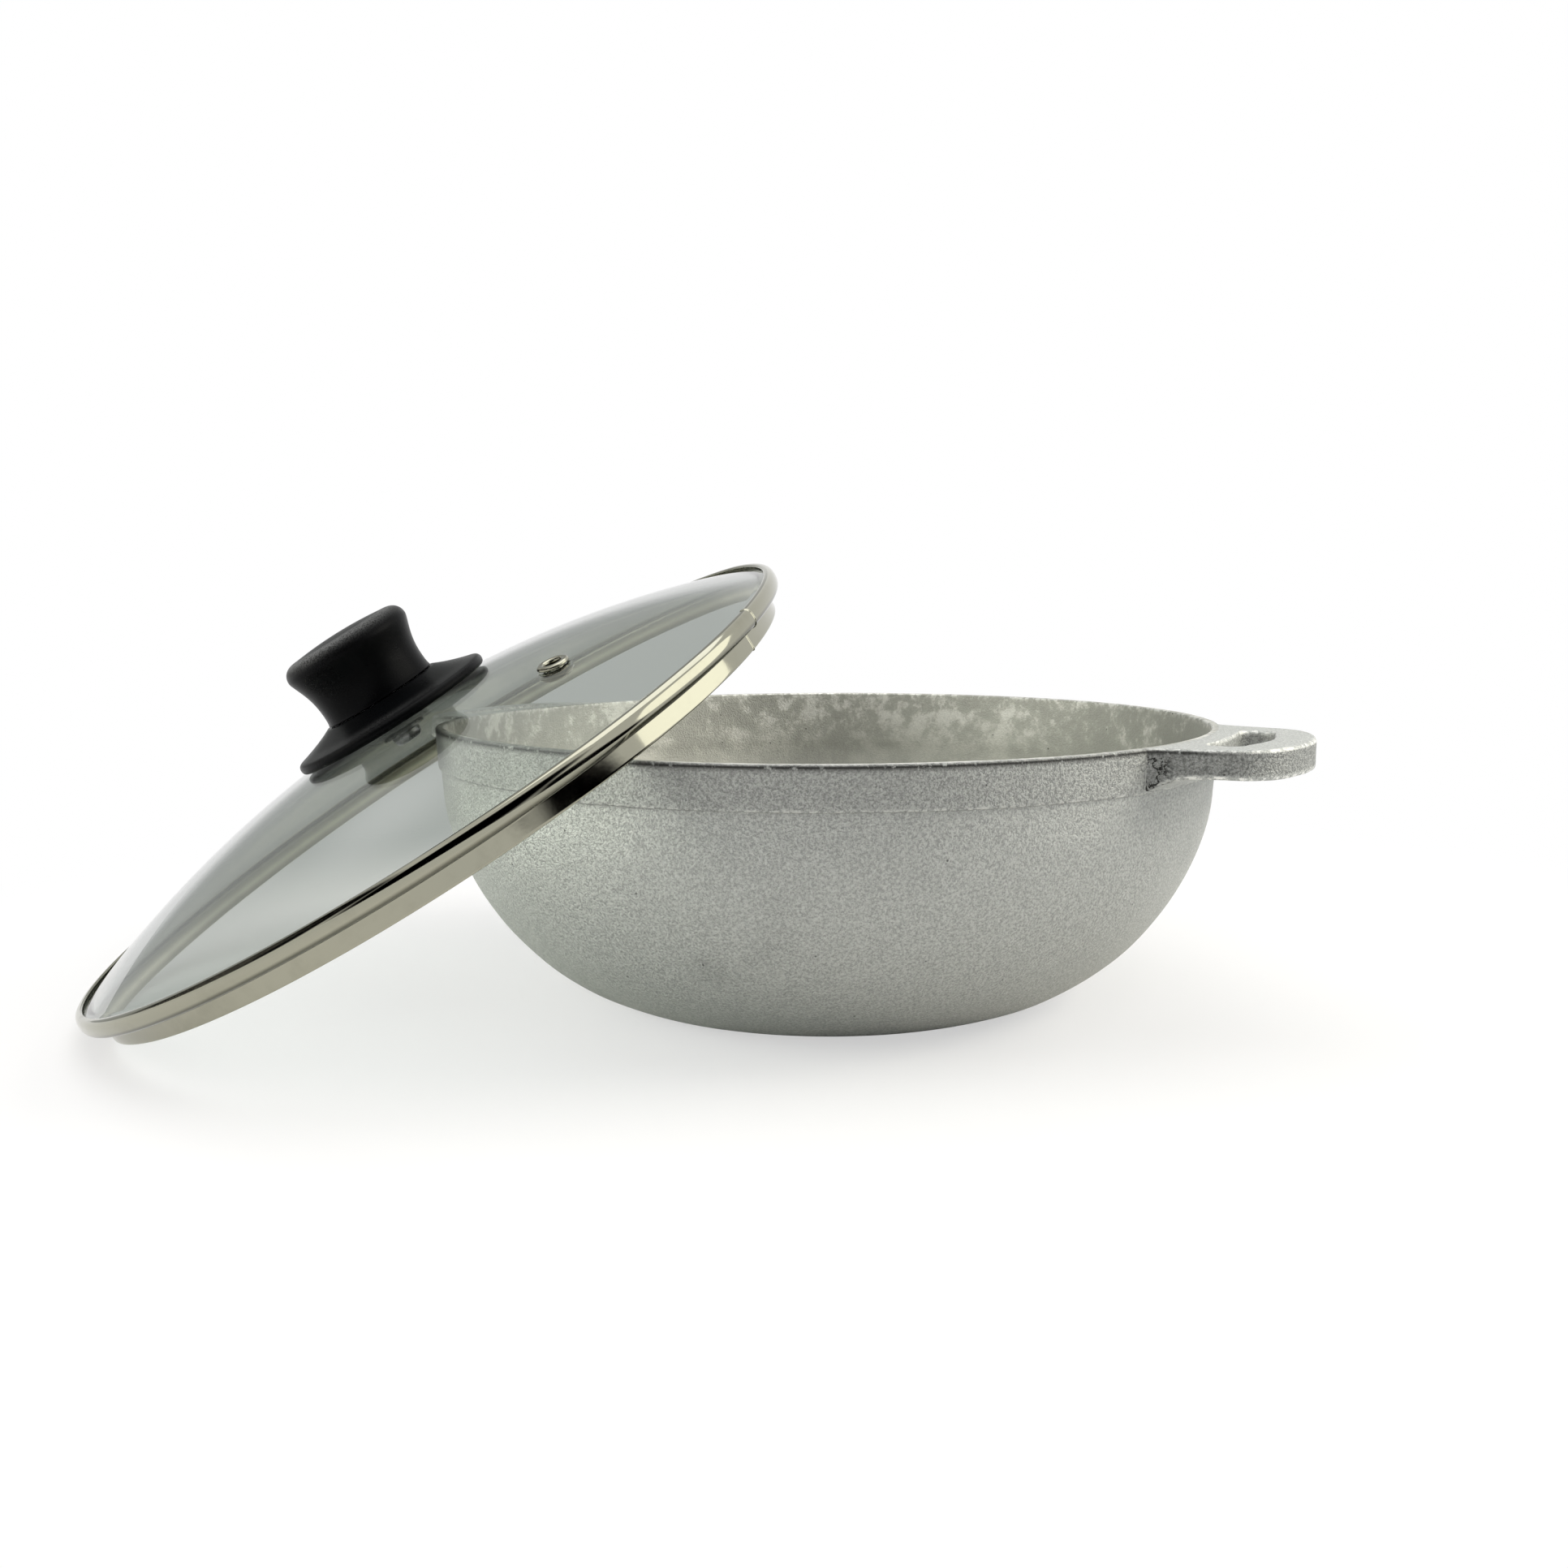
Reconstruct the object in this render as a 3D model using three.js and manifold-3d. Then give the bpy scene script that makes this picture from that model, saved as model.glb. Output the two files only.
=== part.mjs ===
// A cast aluminium caldero with its glass lid leaning against it.
// Millimetres, +Z up. The origin is the middle of the pot's foot, on the table, with the handles along X.

import * as THREE from 'three';
import { mergeVertices } from 'three/addons/utils/BufferGeometryUtils.js';
import Module from 'manifold-3d';

const wasm = await Module();
wasm.setup();

// Driving dimensions of the pot
const RIM_R = 133; // outer radius of the mouth
const POT_H = 92; // table to the top of the rim
const WALL_T = 3; // wall at the rim
const FLOOR_T = 4.5; // floor in the middle
const FOOT_R = 70; // flat that the pot stands on
const SHOULDER_H = 71; // where the bowl's curve ends and the wall begins
const WALL_DRAFT = 1.9; // how far the shoulder lies inside the rim
const BOWL_POWER = 1.68; // roundness of the bowl: 1 is a cone, 2 a true ellipse
const RIM_BAND_H = 13; // height of the band above the parting line
const STEP_OUT = 0.6; // how far the band stands out there
const RIM_ROUND = 0.9; // rounding of the rim's two edges

// Driving dimensions of the two cast handles
const HANDLE_REACH = 30.7; // past the rim
const HANDLE_ROOT_W = 83; // width where the handle leaves the wall
const HANDLE_SHOULDER_W = 75; // width where the corners start
const HANDLE_TIP_W = 50; // width of the crowned end
const HANDLE_CORNER = 17.7; // tip to the start of the corners
const HANDLE_CROWN = 4.9; // rise of the crowned end
const HANDLE_T = 9.2; // thickness
const HANDLE_ROUND = 1.2; // rounding of its edges
const HANDLE_BAR = 12.3; // width of the grip in front of the finger hole
const HOLE_LAND = 6; // metal left between the rim and the finger hole
const HOLE_W = 50; // length of the finger hole
const HOLE_BACK_W = 40; // straight part of its back edge
const HOLE_FRONT_W = 36; // straight part of its front edge

// Driving dimensions of the lid
const GAP = 0.3; // clearance between seated pieces
const LID_FIT = 2; // play of the skirt inside the rim
const BEAD_OVER = 0.5; // how far the bead stands out over the rim
const BEAD_ROUND = 2.2; // width of the bead's round
const BAND_T = 0.8; // sheet of the band
const SKIRT_H = 6.2; // depth of the skirt under the bead
const GLASS_T = 3.8; // thickness of the glass
const DOME_RISE = 23.4; // rise of the glass over its edge
const EDGE_FLAT = 1; // flat land of the glass inside its rounded edge
const SCREW_HOLE_R = 4; // hole of the glass for the screw

// Driving dimensions of the steam vent
const VENT_OFFSET = 77.5; // from the lid's axis
const VENT_ANGLE = THREE.MathUtils.degToRad(-51); // from the direction of the lean
const VENT_BORE_R = 2.7;
const VENT_TUBE_T = 0.8;
const VENT_HEAD_R = 5.3;
const VENT_HEAD_H = 1.3;
const VENT_ROLL_R = 4.9;
const VENT_ROLL_H = 1;
const VENT_WASHER_R = 5.8;
const VENT_WASHER_T = 0.8;

// Driving dimensions of the knob, its seals and its screw
const GASKET_R = 15;
const GASKET_T = 2.1;
const FLANGE_R = 35;
const FLANGE_LIFT = 0.9; // from the glass to the underside of the flange
const FLANGE_EDGE = 3.4; // thickness at the edge
const FLANGE_HUB_R = 20.5;
const FLANGE_HUB_H = 5; // rise of the hub over the edge
const GRIP_FOOT_R = 19.4;
const GRIP_WAIST_R = 19;
const GRIP_R = 22;
const GRIP_H = 24.6;
const GRIP_WAIST_H = 4.5; // waist over the foot
const GRIP_CROWN = 1; // rise of the top
const GRIP_ROUND = 5.6; // rounding of the top edge, from the widest place up
const INSERT_R = 4.6;
const INSERT_H = 13;
const INSERT_SETBACK = 0.4; // how far the insert lies inside the foot
const SCREW_R = 2.5;
const SCREW_BITE = 10; // length inside the insert
const SCREW_HEAD_R = 5;
const SCREW_HEAD_H = 3;
const DRIVE_W = 1.2; // slots of the cross drive
const DRIVE_L = 5.4;
const DRIVE_DEPTH = 1.6;
const SCREW_WASHER_R = 7.5;
const SCREW_WASHER_T = 1.2;
const SEAL_R = 8.5;
const SEAL_T = 2;

// How the lid leans in the rest pose
const LEAN = THREE.MathUtils.degToRad(31.58); // tilt of the lid
const LEAN_TURN = THREE.MathUtils.degToRad(45.68); // direction up the slope, from +X
const REST_GAP = 0.3; // clearance where the lid rests on the pot
const SETTLE_STEP = 0.003; // how finely the resting place is found

// Fineness of the round pieces
const POT_SIDES = 72;
const LID_SIDES = 60;
const KNOB_SIDES = 36;
const SMALL_SIDES = 20;
const BOWL_STEPS = 9;
const DOME_STEPS = 6;
const CURVE_STEPS = 3;
const EDGE_STEPS = 2;

// Sizes that follow from the driving ones
const wallR = RIM_R - WALL_T;
const shoulderR = RIM_R - WALL_DRAFT;
const stepZ = POT_H - RIM_BAND_H;
const handleTop = POT_H;
const handleTip = RIM_R + HANDLE_REACH;
const handleRootR = RIM_R - WALL_T / 2;
const skirtR = wallR - LID_FIT;
const beadR = RIM_R + BEAD_OVER;
const lipR = beadR - BEAD_ROUND;
const channelFloor = SKIRT_H + BAND_T;
const glassBottom = channelFloor + GAP;
const glassTop = glassBottom + GLASS_T;
const bandTop = glassTop + GAP + BAND_T;
const beadMid = (bandTop + SKIRT_H) / 2;
const glassRoundR = GLASS_T / 2;
const glassEdgeR = beadR - BAND_T - GAP - glassRoundR;
const domeEdgeR = glassEdgeR - EDGE_FLAT;
const domeR = (domeEdgeR ** 2 + DOME_RISE ** 2) / (2 * DOME_RISE);
const domeTop = glassTop + DOME_RISE;
const domeCentre = domeTop - domeR;
const ventTubeR = VENT_BORE_R + VENT_TUBE_T;
const drillLength = 4 * GLASS_T; // well past both faces of the glass

// Drop of a sphere of the given radius below its top, at a distance from its axis.
function drop(radius, distance) {
  return radius - Math.sqrt(radius ** 2 - distance ** 2);
}

// Welds a geometry to one closed body, without collapsed triangles and with its faces outwards.
function weld(geometry) {
  const bare = geometry.clone();
  bare.deleteAttribute('normal');
  bare.deleteAttribute('uv');
  const welded = mergeVertices(bare);
  const index = welded.getIndex().array;
  const place = welded.getAttribute('position');
  const corner = [0, 1, 2].map(() => new THREE.Vector3());
  const kept = [];
  let volume = 0;
  for (let i = 0; i < index.length; i += 3) {
    const [a, b, c] = index.slice(i, i + 3);
    if (a === b || b === c || c === a) continue;
    kept.push(a, b, c);
    [a, b, c].forEach((vertex, k) => corner[k].fromBufferAttribute(place, vertex));
    volume += corner[0].dot(corner[1].clone().cross(corner[2]));
  }
  welded.setIndex(volume > 0 ? kept : kept.reverse());
  return welded;
}

// A body turned about Z from a profile of (radius, height) points.
function turned(points, sides) {
  return weld(new THREE.LatheGeometry(points, sides).rotateX(Math.PI / 2));
}

// A solid that can be joined and cut.
function solid(geometry) {
  const body = weld(geometry);
  return new wasm.Manifold(new wasm.Mesh({
    numProp: 3,
    vertProperties: new Float32Array(body.getAttribute('position').array),
    triVerts: new Uint32Array(body.getIndex().array),
  }));
}

// The geometry of a joined or cut solid.
function geometryOf(body) {
  const mesh = body.getMesh();
  const geometry = new THREE.BufferGeometry();
  geometry.setAttribute('position', new THREE.BufferAttribute(new Float32Array(mesh.vertProperties), 3));
  geometry.setIndex(new THREE.BufferAttribute(new Uint32Array(mesh.triVerts), 1));
  return geometry;
}

// A flat ring between two radii and two heights.
function ring(innerR, outerR, bottom, top, sides) {
  const profile = [[innerR, bottom], [outerR, bottom], [outerR, top], [innerR, top], [innerR, bottom]];
  return turned(profile.map(([r, z]) => new THREE.Vector2(r, z)), sides);
}

// Where two lines in the plan meet, each given by a point and a direction.
function meet(p, along, q, across) {
  const side = q.clone().sub(p).cross(across) / along.cross(across);
  return p.clone().addScaledVector(along, side);
}

// One wall of the bowl, as points of a superellipse from the foot to the shoulder.
function bowlCurve(footR, footZ, topR) {
  return Array.from({ length: BOWL_STEPS + 1 }, (_, i) => {
    const angle = (i / BOWL_STEPS) * Math.PI / 2;
    const out = Math.sin(angle) ** (2 / BOWL_POWER);
    const up = 1 - Math.cos(angle) ** (2 / BOWL_POWER);
    return new THREE.Vector2(footR + (topR - footR) * out, footZ + (SHOULDER_H - footZ) * up);
  });
}

// Profile of the bowl: flat foot, round side, parting step, rounded rim and the wall inside.
function bowlProfile() {
  const rim = new THREE.Path();
  rim.moveTo(shoulderR, SHOULDER_H);
  rim.lineTo(RIM_R - 2 * STEP_OUT, stepZ);
  rim.lineTo(RIM_R - STEP_OUT, stepZ + STEP_OUT);
  rim.lineTo(RIM_R, POT_H - RIM_ROUND);
  rim.quadraticCurveTo(RIM_R, POT_H, RIM_R - RIM_ROUND, POT_H);
  rim.lineTo(wallR + RIM_ROUND, POT_H);
  rim.quadraticCurveTo(wallR, POT_H, wallR, POT_H - RIM_ROUND);
  rim.lineTo(shoulderR - WALL_T, SHOULDER_H);
  const outside = bowlCurve(FOOT_R, 0, shoulderR);
  const inside = bowlCurve(FOOT_R - WALL_T, FLOOR_T, shoulderR - WALL_T).reverse();
  const axis = [new THREE.Vector2(0, 0), new THREE.Vector2(0, FLOOR_T)];
  return [axis[0], ...outside.slice(0, -1), ...rim.getPoints(CURVE_STEPS), ...inside.slice(1), axis[1]];
}

// Plan of one handle: a lug with tapering sides, round corners and a crowned end.
function handlePlan() {
  const rootAngle = Math.asin(HANDLE_ROOT_W / 2 / handleRootR);
  const root = new THREE.Vector2(Math.cos(rootAngle), Math.sin(rootAngle)).multiplyScalar(handleRootR);
  const shoulder = new THREE.Vector2(handleTip - HANDLE_CORNER, HANDLE_SHOULDER_W / 2);
  const crown = new THREE.Vector2(handleTip - HANDLE_CROWN, HANDLE_TIP_W / 2);
  const peak = new THREE.Vector2(handleTip + HANDLE_CROWN, 0);
  const corner = meet(shoulder, shoulder.clone().sub(root), crown, peak.clone().sub(crown));
  const plan = new THREE.Shape();
  plan.moveTo(root.x, -root.y);
  plan.lineTo(shoulder.x, -shoulder.y);
  plan.quadraticCurveTo(corner.x, -corner.y, crown.x, -crown.y);
  plan.quadraticCurveTo(peak.x, peak.y, crown.x, crown.y);
  plan.quadraticCurveTo(corner.x, corner.y, shoulder.x, shoulder.y);
  plan.lineTo(root.x, root.y);
  plan.absarc(0, 0, handleRootR, rootAngle, -rootAngle, true);
  return plan;
}

// Finger hole of a handle: its back edge follows the rim and its front edge the crowned end.
function fingerHole() {
  const backR = RIM_R + HOLE_LAND;
  const backAngle = Math.asin(HOLE_BACK_W / 2 / backR);
  const back = new THREE.Vector2(Math.cos(backAngle), Math.sin(backAngle)).multiplyScalar(backR);
  const front = new THREE.Vector2(handleTip - HANDLE_BAR - HANDLE_CROWN / 2, HOLE_FRONT_W / 2);
  const endX = (back.x + front.x) / 2;
  const hole = new THREE.Path();
  hole.moveTo(back.x, -back.y);
  hole.absarc(0, 0, backR, -backAngle, backAngle, false);
  hole.quadraticCurveTo(back.x, HOLE_W / 2, endX, HOLE_W / 2);
  hole.quadraticCurveTo(front.x, HOLE_W / 2, front.x, front.y);
  hole.quadraticCurveTo(front.x + HANDLE_CROWN, 0, front.x, -front.y);
  hole.quadraticCurveTo(front.x, -HOLE_W / 2, endX, -HOLE_W / 2);
  hole.quadraticCurveTo(back.x, -HOLE_W / 2, back.x, -back.y);
  return hole;
}

function handle() {
  const plan = handlePlan();
  plan.holes.push(fingerHole());
  const plate = new THREE.ExtrudeGeometry(plan, {
    depth: HANDLE_T - 2 * HANDLE_ROUND,
    bevelThickness: HANDLE_ROUND,
    bevelSize: HANDLE_ROUND,
    bevelOffset: -HANDLE_ROUND,
    bevelSegments: EDGE_STEPS,
    curveSegments: CURVE_STEPS,
  });
  return plate.translate(0, 0, handleTop - HANDLE_T + HANDLE_ROUND);
}

// The casting: bowl and both handles in one.
function potBody() {
  const bowl = solid(turned(bowlProfile(), POT_SIDES));
  const right = solid(handle());
  const left = solid(handle().rotateZ(Math.PI));
  return geometryOf(bowl.add(right).add(left));
}

// Rolled steel band: a bead clasping the edge of the glass, and the skirt that drops inside the rim.
function lidBand() {
  const inR = beadR - BAND_T;
  const path = new THREE.Path();
  path.moveTo(lipR, bandTop);
  path.quadraticCurveTo(beadR, bandTop, beadR, beadMid);
  path.quadraticCurveTo(beadR, SKIRT_H, lipR, SKIRT_H);
  path.lineTo(skirtR + BAND_T, SKIRT_H);
  path.quadraticCurveTo(skirtR, SKIRT_H, skirtR, SKIRT_H - BAND_T);
  path.lineTo(skirtR, 0);
  path.lineTo(skirtR - BAND_T, 0);
  path.lineTo(skirtR - BAND_T, SKIRT_H);
  path.quadraticCurveTo(skirtR - BAND_T, channelFloor, skirtR, channelFloor);
  path.lineTo(lipR, channelFloor);
  path.quadraticCurveTo(inR, channelFloor, inR, beadMid);
  path.quadraticCurveTo(inR, bandTop - BAND_T, lipR, bandTop - BAND_T);
  path.closePath();
  return turned(path.getPoints(CURVE_STEPS), LID_SIDES);
}

// One face of the dome, as points on a sphere about the dome's centre.
function domeFace(radius, fromR, toR) {
  return Array.from({ length: DOME_STEPS + 1 }, (_, i) => {
    const r = fromR + (toR - fromR) * i / DOME_STEPS;
    return new THREE.Vector2(r, domeCentre + Math.sqrt(radius ** 2 - r ** 2));
  });
}

// Tempered glass dome with a rounded edge, drilled for the screw and the vent.
function lidGlass() {
  const innerR = domeR - GLASS_T;
  const seatR = Math.sqrt(innerR ** 2 - (glassBottom - domeCentre) ** 2);
  const edge = new THREE.Path();
  edge.moveTo(domeEdgeR, glassTop);
  edge.lineTo(glassEdgeR, glassTop);
  edge.absarc(glassEdgeR, glassTop - glassRoundR, glassRoundR, Math.PI / 2, -Math.PI / 2, true);
  edge.lineTo(seatR, glassBottom);
  const profile = [
    ...domeFace(domeR, SCREW_HOLE_R, domeEdgeR).slice(0, -1),
    ...edge.getPoints(CURVE_STEPS),
    ...domeFace(innerR, seatR, SCREW_HOLE_R).slice(1),
  ];
  const drill = new THREE.CylinderGeometry(ventTubeR + GAP, ventTubeR + GAP, drillLength, SMALL_SIDES);
  drill.rotateX(Math.PI / 2).applyMatrix4(ventPlace());
  const dome = solid(turned([...profile, profile[0]], LID_SIDES));
  return geometryOf(dome.subtract(solid(drill)));
}

// Place of the vent: on the glass's outer face, square to it.
function ventPlace() {
  const polar = Math.asin(VENT_OFFSET / domeR);
  return new THREE.Matrix4().makeTranslation(0, 0, domeCentre)
    .multiply(new THREE.Matrix4().makeRotationZ(VENT_ANGLE))
    .multiply(new THREE.Matrix4().makeRotationY(polar))
    .multiply(new THREE.Matrix4().makeTranslation(0, 0, domeR));
}

const ventWasherTop = -(GLASS_T + GAP);
const ventRollTop = ventWasherTop - VENT_WASHER_T - GAP;

// Flared steel tube of the vent: head over the glass, barrel through it,
// and the end rolled out under the washer.
function ventBarrel() {
  const headTop = GAP + VENT_HEAD_H;
  const rollBottom = ventRollTop - VENT_ROLL_H;
  const path = new THREE.Path();
  path.moveTo(ventTubeR, GAP);
  path.lineTo(VENT_HEAD_R, GAP);
  path.quadraticCurveTo(VENT_HEAD_R, headTop, (VENT_HEAD_R + VENT_BORE_R) / 2, headTop);
  path.quadraticCurveTo(VENT_BORE_R, headTop, VENT_BORE_R, GAP);
  path.lineTo(VENT_BORE_R, rollBottom);
  path.lineTo(ventTubeR, rollBottom);
  path.quadraticCurveTo(VENT_ROLL_R, rollBottom, VENT_ROLL_R, ventRollTop);
  path.lineTo(ventTubeR, ventRollTop);
  path.closePath();
  return turned(path.getPoints(CURVE_STEPS), SMALL_SIDES);
}

function ventWasher() {
  const bottom = ventWasherTop - VENT_WASHER_T;
  return ring(ventTubeR + GAP, VENT_WASHER_R, bottom, ventWasherTop, SMALL_SIDES);
}

// Heights of the knob's stack, from the top of the glass on the lid's axis
const screwHoleR = SCREW_R + GAP;
const gasketTop = GAP + GASKET_T;
const flangeEdgeBottom = FLANGE_LIFT - drop(domeR, FLANGE_R);
const flangeTop = flangeEdgeBottom + FLANGE_EDGE + FLANGE_HUB_H;
const gripFoot = flangeTop + GAP;
const insertBottom = gripFoot + INSERT_SETBACK;
const sealTop = -(GLASS_T + GAP);
const screwWasherTop = sealTop - SEAL_T - GAP;
const screwHeadTop = screwWasherTop - SCREW_WASHER_T - GAP;

// Soft ring that beds the flange on the curve of the glass.
function flangeGasket() {
  const bottom = (r) => GAP - drop(domeR, r);
  const profile = [
    [screwHoleR, bottom(screwHoleR)],
    [GASKET_R, bottom(GASKET_R)],
    [GASKET_R, gasketTop],
    [screwHoleR, gasketTop],
    [screwHoleR, bottom(screwHoleR)],
  ];
  return turned(profile.map(([r, z]) => new THREE.Vector2(r, z)), SMALL_SIDES);
}

// Wide guard under the grip: dished below like the glass, sloping above from its edge to its hub.
function knobFlange() {
  const recessR = GASKET_R + GAP;
  const edgeR = FLANGE_R - FLANGE_EDGE / 2;
  const edgeMid = flangeEdgeBottom + FLANGE_EDGE / 2;
  const edgeTop = flangeEdgeBottom + FLANGE_EDGE;
  const path = new THREE.Path();
  path.moveTo(screwHoleR, gasketTop + GAP);
  path.lineTo(recessR, gasketTop + GAP);
  path.lineTo(recessR, FLANGE_LIFT - drop(domeR, recessR));
  path.lineTo(edgeR, FLANGE_LIFT - drop(domeR, edgeR));
  path.quadraticCurveTo(FLANGE_R, flangeEdgeBottom, FLANGE_R, edgeMid);
  path.quadraticCurveTo(FLANGE_R, edgeTop, edgeR, edgeTop);
  path.quadraticCurveTo(FLANGE_HUB_R + FLANGE_HUB_H, flangeTop - FLANGE_HUB_H / 2, FLANGE_HUB_R, flangeTop);
  path.lineTo(screwHoleR, flangeTop);
  path.closePath();
  return turned(path.getPoints(CURVE_STEPS), KNOB_SIDES);
}

// Moulded grip, bored for its insert: narrow waist, a side that flares to a brim,
// and a round, lightly crowned top.
function knobGrip() {
  const boreR = INSERT_R + GAP;
  const boreTop = insertBottom + INSERT_H + GAP;
  const waist = gripFoot + GRIP_WAIST_H;
  const top = gripFoot + GRIP_H;
  const brim = top - GRIP_CROWN - GRIP_ROUND;
  const flareR = GRIP_R - (GRIP_R - GRIP_WAIST_R) / 3;
  const flareZ = brim - (brim - waist) / 4;
  const path = new THREE.Path();
  path.moveTo(0, boreTop);
  path.lineTo(boreR, boreTop);
  path.lineTo(boreR, gripFoot);
  path.lineTo(GRIP_FOOT_R, gripFoot);
  path.quadraticCurveTo(GRIP_WAIST_R, gripFoot, GRIP_WAIST_R, waist);
  path.bezierCurveTo(GRIP_WAIST_R, (waist + brim) / 2, flareR, flareZ, GRIP_R, brim);
  path.quadraticCurveTo(GRIP_R, top - GRIP_CROWN, GRIP_R - GRIP_ROUND, top - GRIP_CROWN);
  path.quadraticCurveTo((GRIP_R - GRIP_ROUND) / 2, top, 0, top);
  return turned(path.getPoints(CURVE_STEPS), KNOB_SIDES);
}

function knobInsert() {
  return ring(screwHoleR, INSERT_R, insertBottom, insertBottom + INSERT_H, SMALL_SIDES);
}

// Pan-head screw: its head, with a cross drive, lies under the glass and its shank ends in the insert.
function knobScrew() {
  const headBottom = screwHeadTop - SCREW_HEAD_H;
  const path = new THREE.Path();
  path.moveTo(0, headBottom);
  path.lineTo(SCREW_HEAD_R / 2, headBottom);
  path.quadraticCurveTo(SCREW_HEAD_R, headBottom, SCREW_HEAD_R, screwHeadTop);
  path.lineTo(SCREW_R, screwHeadTop);
  path.lineTo(SCREW_R, insertBottom + SCREW_BITE);
  path.lineTo(0, insertBottom + SCREW_BITE);
  const slot = new THREE.BoxGeometry(DRIVE_L, DRIVE_W, 2 * DRIVE_DEPTH).translate(0, 0, headBottom);
  const screw = solid(turned(path.getPoints(CURVE_STEPS), SMALL_SIDES));
  return geometryOf(screw.subtract(solid(slot)).subtract(solid(slot.clone().rotateZ(Math.PI / 2))));
}

function screwWasher() {
  return ring(screwHoleR, SCREW_WASHER_R, screwWasherTop - SCREW_WASHER_T, screwWasherTop, SMALL_SIDES);
}

function glassSeal() {
  return ring(screwHoleR, SEAL_R, sealTop - SEAL_T, sealTop, SMALL_SIDES);
}

// The leaning lid rests on the table with its skirt, hooks over the rim
// and meets the far handle with its glass.
// Given how far the pot's edge reaches in under the lid, this is the middle of the skirt's lower edge,
// measured up the slope's direction, across it and upwards.
function leaningPlace(bite) {
  const height = skirtR * Math.sin(LEAN);
  const chord = RIM_R - bite;
  const rise = POT_H - height;
  const hookR = skirtR - BAND_T;
  const along = -chord - rise / Math.tan(LEAN);
  const skirtHalf = Math.sqrt(hookR ** 2 - (rise / Math.sin(LEAN)) ** 2);
  const rimHalf = Math.sqrt(RIM_R ** 2 - chord ** 2);
  return new THREE.Vector3(along, skirtHalf - rimHalf - REST_GAP, height);
}

// Turn and place of the whole lid for that reach.
function lidMatrix(bite) {
  const place = leaningPlace(bite);
  return new THREE.Matrix4().makeRotationZ(LEAN_TURN)
    .multiply(new THREE.Matrix4().makeTranslation(place.x, place.y, place.z))
    .multiply(new THREE.Matrix4().makeRotationY(-LEAN));
}

// Least distance from the glass to the far handle and the rim.
function glassClearance(bite) {
  const sphere = new THREE.Vector3(0, 0, domeCentre).applyMatrix4(lidMatrix(bite));
  const far = handlePlan().getPoints(CURVE_STEPS).map((p) => new THREE.Vector3(-p.x, -p.y, handleTop));
  const mouth = new THREE.EllipseCurve(0, 0, RIM_R, RIM_R).getPoints(POT_SIDES);
  const rim = mouth.map((p) => new THREE.Vector3(p.x, p.y, POT_H));
  return domeR - GLASS_T - Math.max(...[...far, ...rim].map((p) => p.distanceTo(sphere)));
}

// The lid slides over the rim until the clearance is used up.
function restingBite() {
  let clear = 0;
  let blocked = RIM_R;
  while (blocked - clear > SETTLE_STEP) {
    const bite = (clear + blocked) / 2;
    if (glassClearance(bite) > REST_GAP) clear = bite;
    else blocked = bite;
  }
  return clear;
}

const finishes = {
  castAluminium: { color: 0xb4b6b4, roughness: 0.55, metalness: 0.9 },
  mirrorSteel: { color: 0xd6d4cc, roughness: 0.08, metalness: 1 },
  glass: { color: 0xc9d4d1, roughness: 0.03, metalness: 0, transparent: true, opacity: 0.35 },
  blackPhenolic: { color: 0x17181a, roughness: 0.42, metalness: 0 },
  clearSilicone: { color: 0xd9dcd8, roughness: 0.6, metalness: 0 },
  brass: { color: 0xc2a35a, roughness: 0.35, metalness: 1 },
  zincSteel: { color: 0xbcbec0, roughness: 0.3, metalness: 1 },
};

function piece(name, geometry, finish) {
  const mesh = new THREE.Mesh(geometry, new THREE.MeshStandardMaterial(finishes[finish]));
  mesh.name = name;
  return mesh;
}

const vent = new THREE.Group();
vent.applyMatrix4(ventPlace());
vent.add(
  piece('vent_barrel', ventBarrel(), 'mirrorSteel'),
  piece('vent_washer', ventWasher(), 'mirrorSteel'),
);

const knob = new THREE.Group();
knob.position.z = domeTop;
knob.add(
  piece('flange_gasket', flangeGasket(), 'clearSilicone'),
  piece('knob_flange', knobFlange(), 'blackPhenolic'),
  piece('knob_grip', knobGrip(), 'blackPhenolic'),
  piece('knob_insert', knobInsert(), 'brass'),
  piece('glass_seal', glassSeal(), 'clearSilicone'),
  piece('screw_washer', screwWasher(), 'zincSteel'),
  piece('knob_screw', knobScrew(), 'zincSteel'),
);

const lid = new THREE.Group();
lid.applyMatrix4(lidMatrix(restingBite()));
lid.add(piece('lid_band', lidBand(), 'mirrorSteel'), piece('lid_glass', lidGlass(), 'glass'), vent, knob);

const caldero = new THREE.Group();
caldero.add(piece('pot_body', potBody(), 'castAluminium'), lid);

export default caldero;
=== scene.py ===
"""Looks of a cast aluminium caldero with its glass lid leaning on it, dressed over the packed frame.

Every piece is a surface worked out in the frame's metres, +Z up, with the pot's handles along X.
The pot's pieces ride the pot, and the pieces of the lid, worked out about the lid's own axis, ride the lid.
"""

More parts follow.
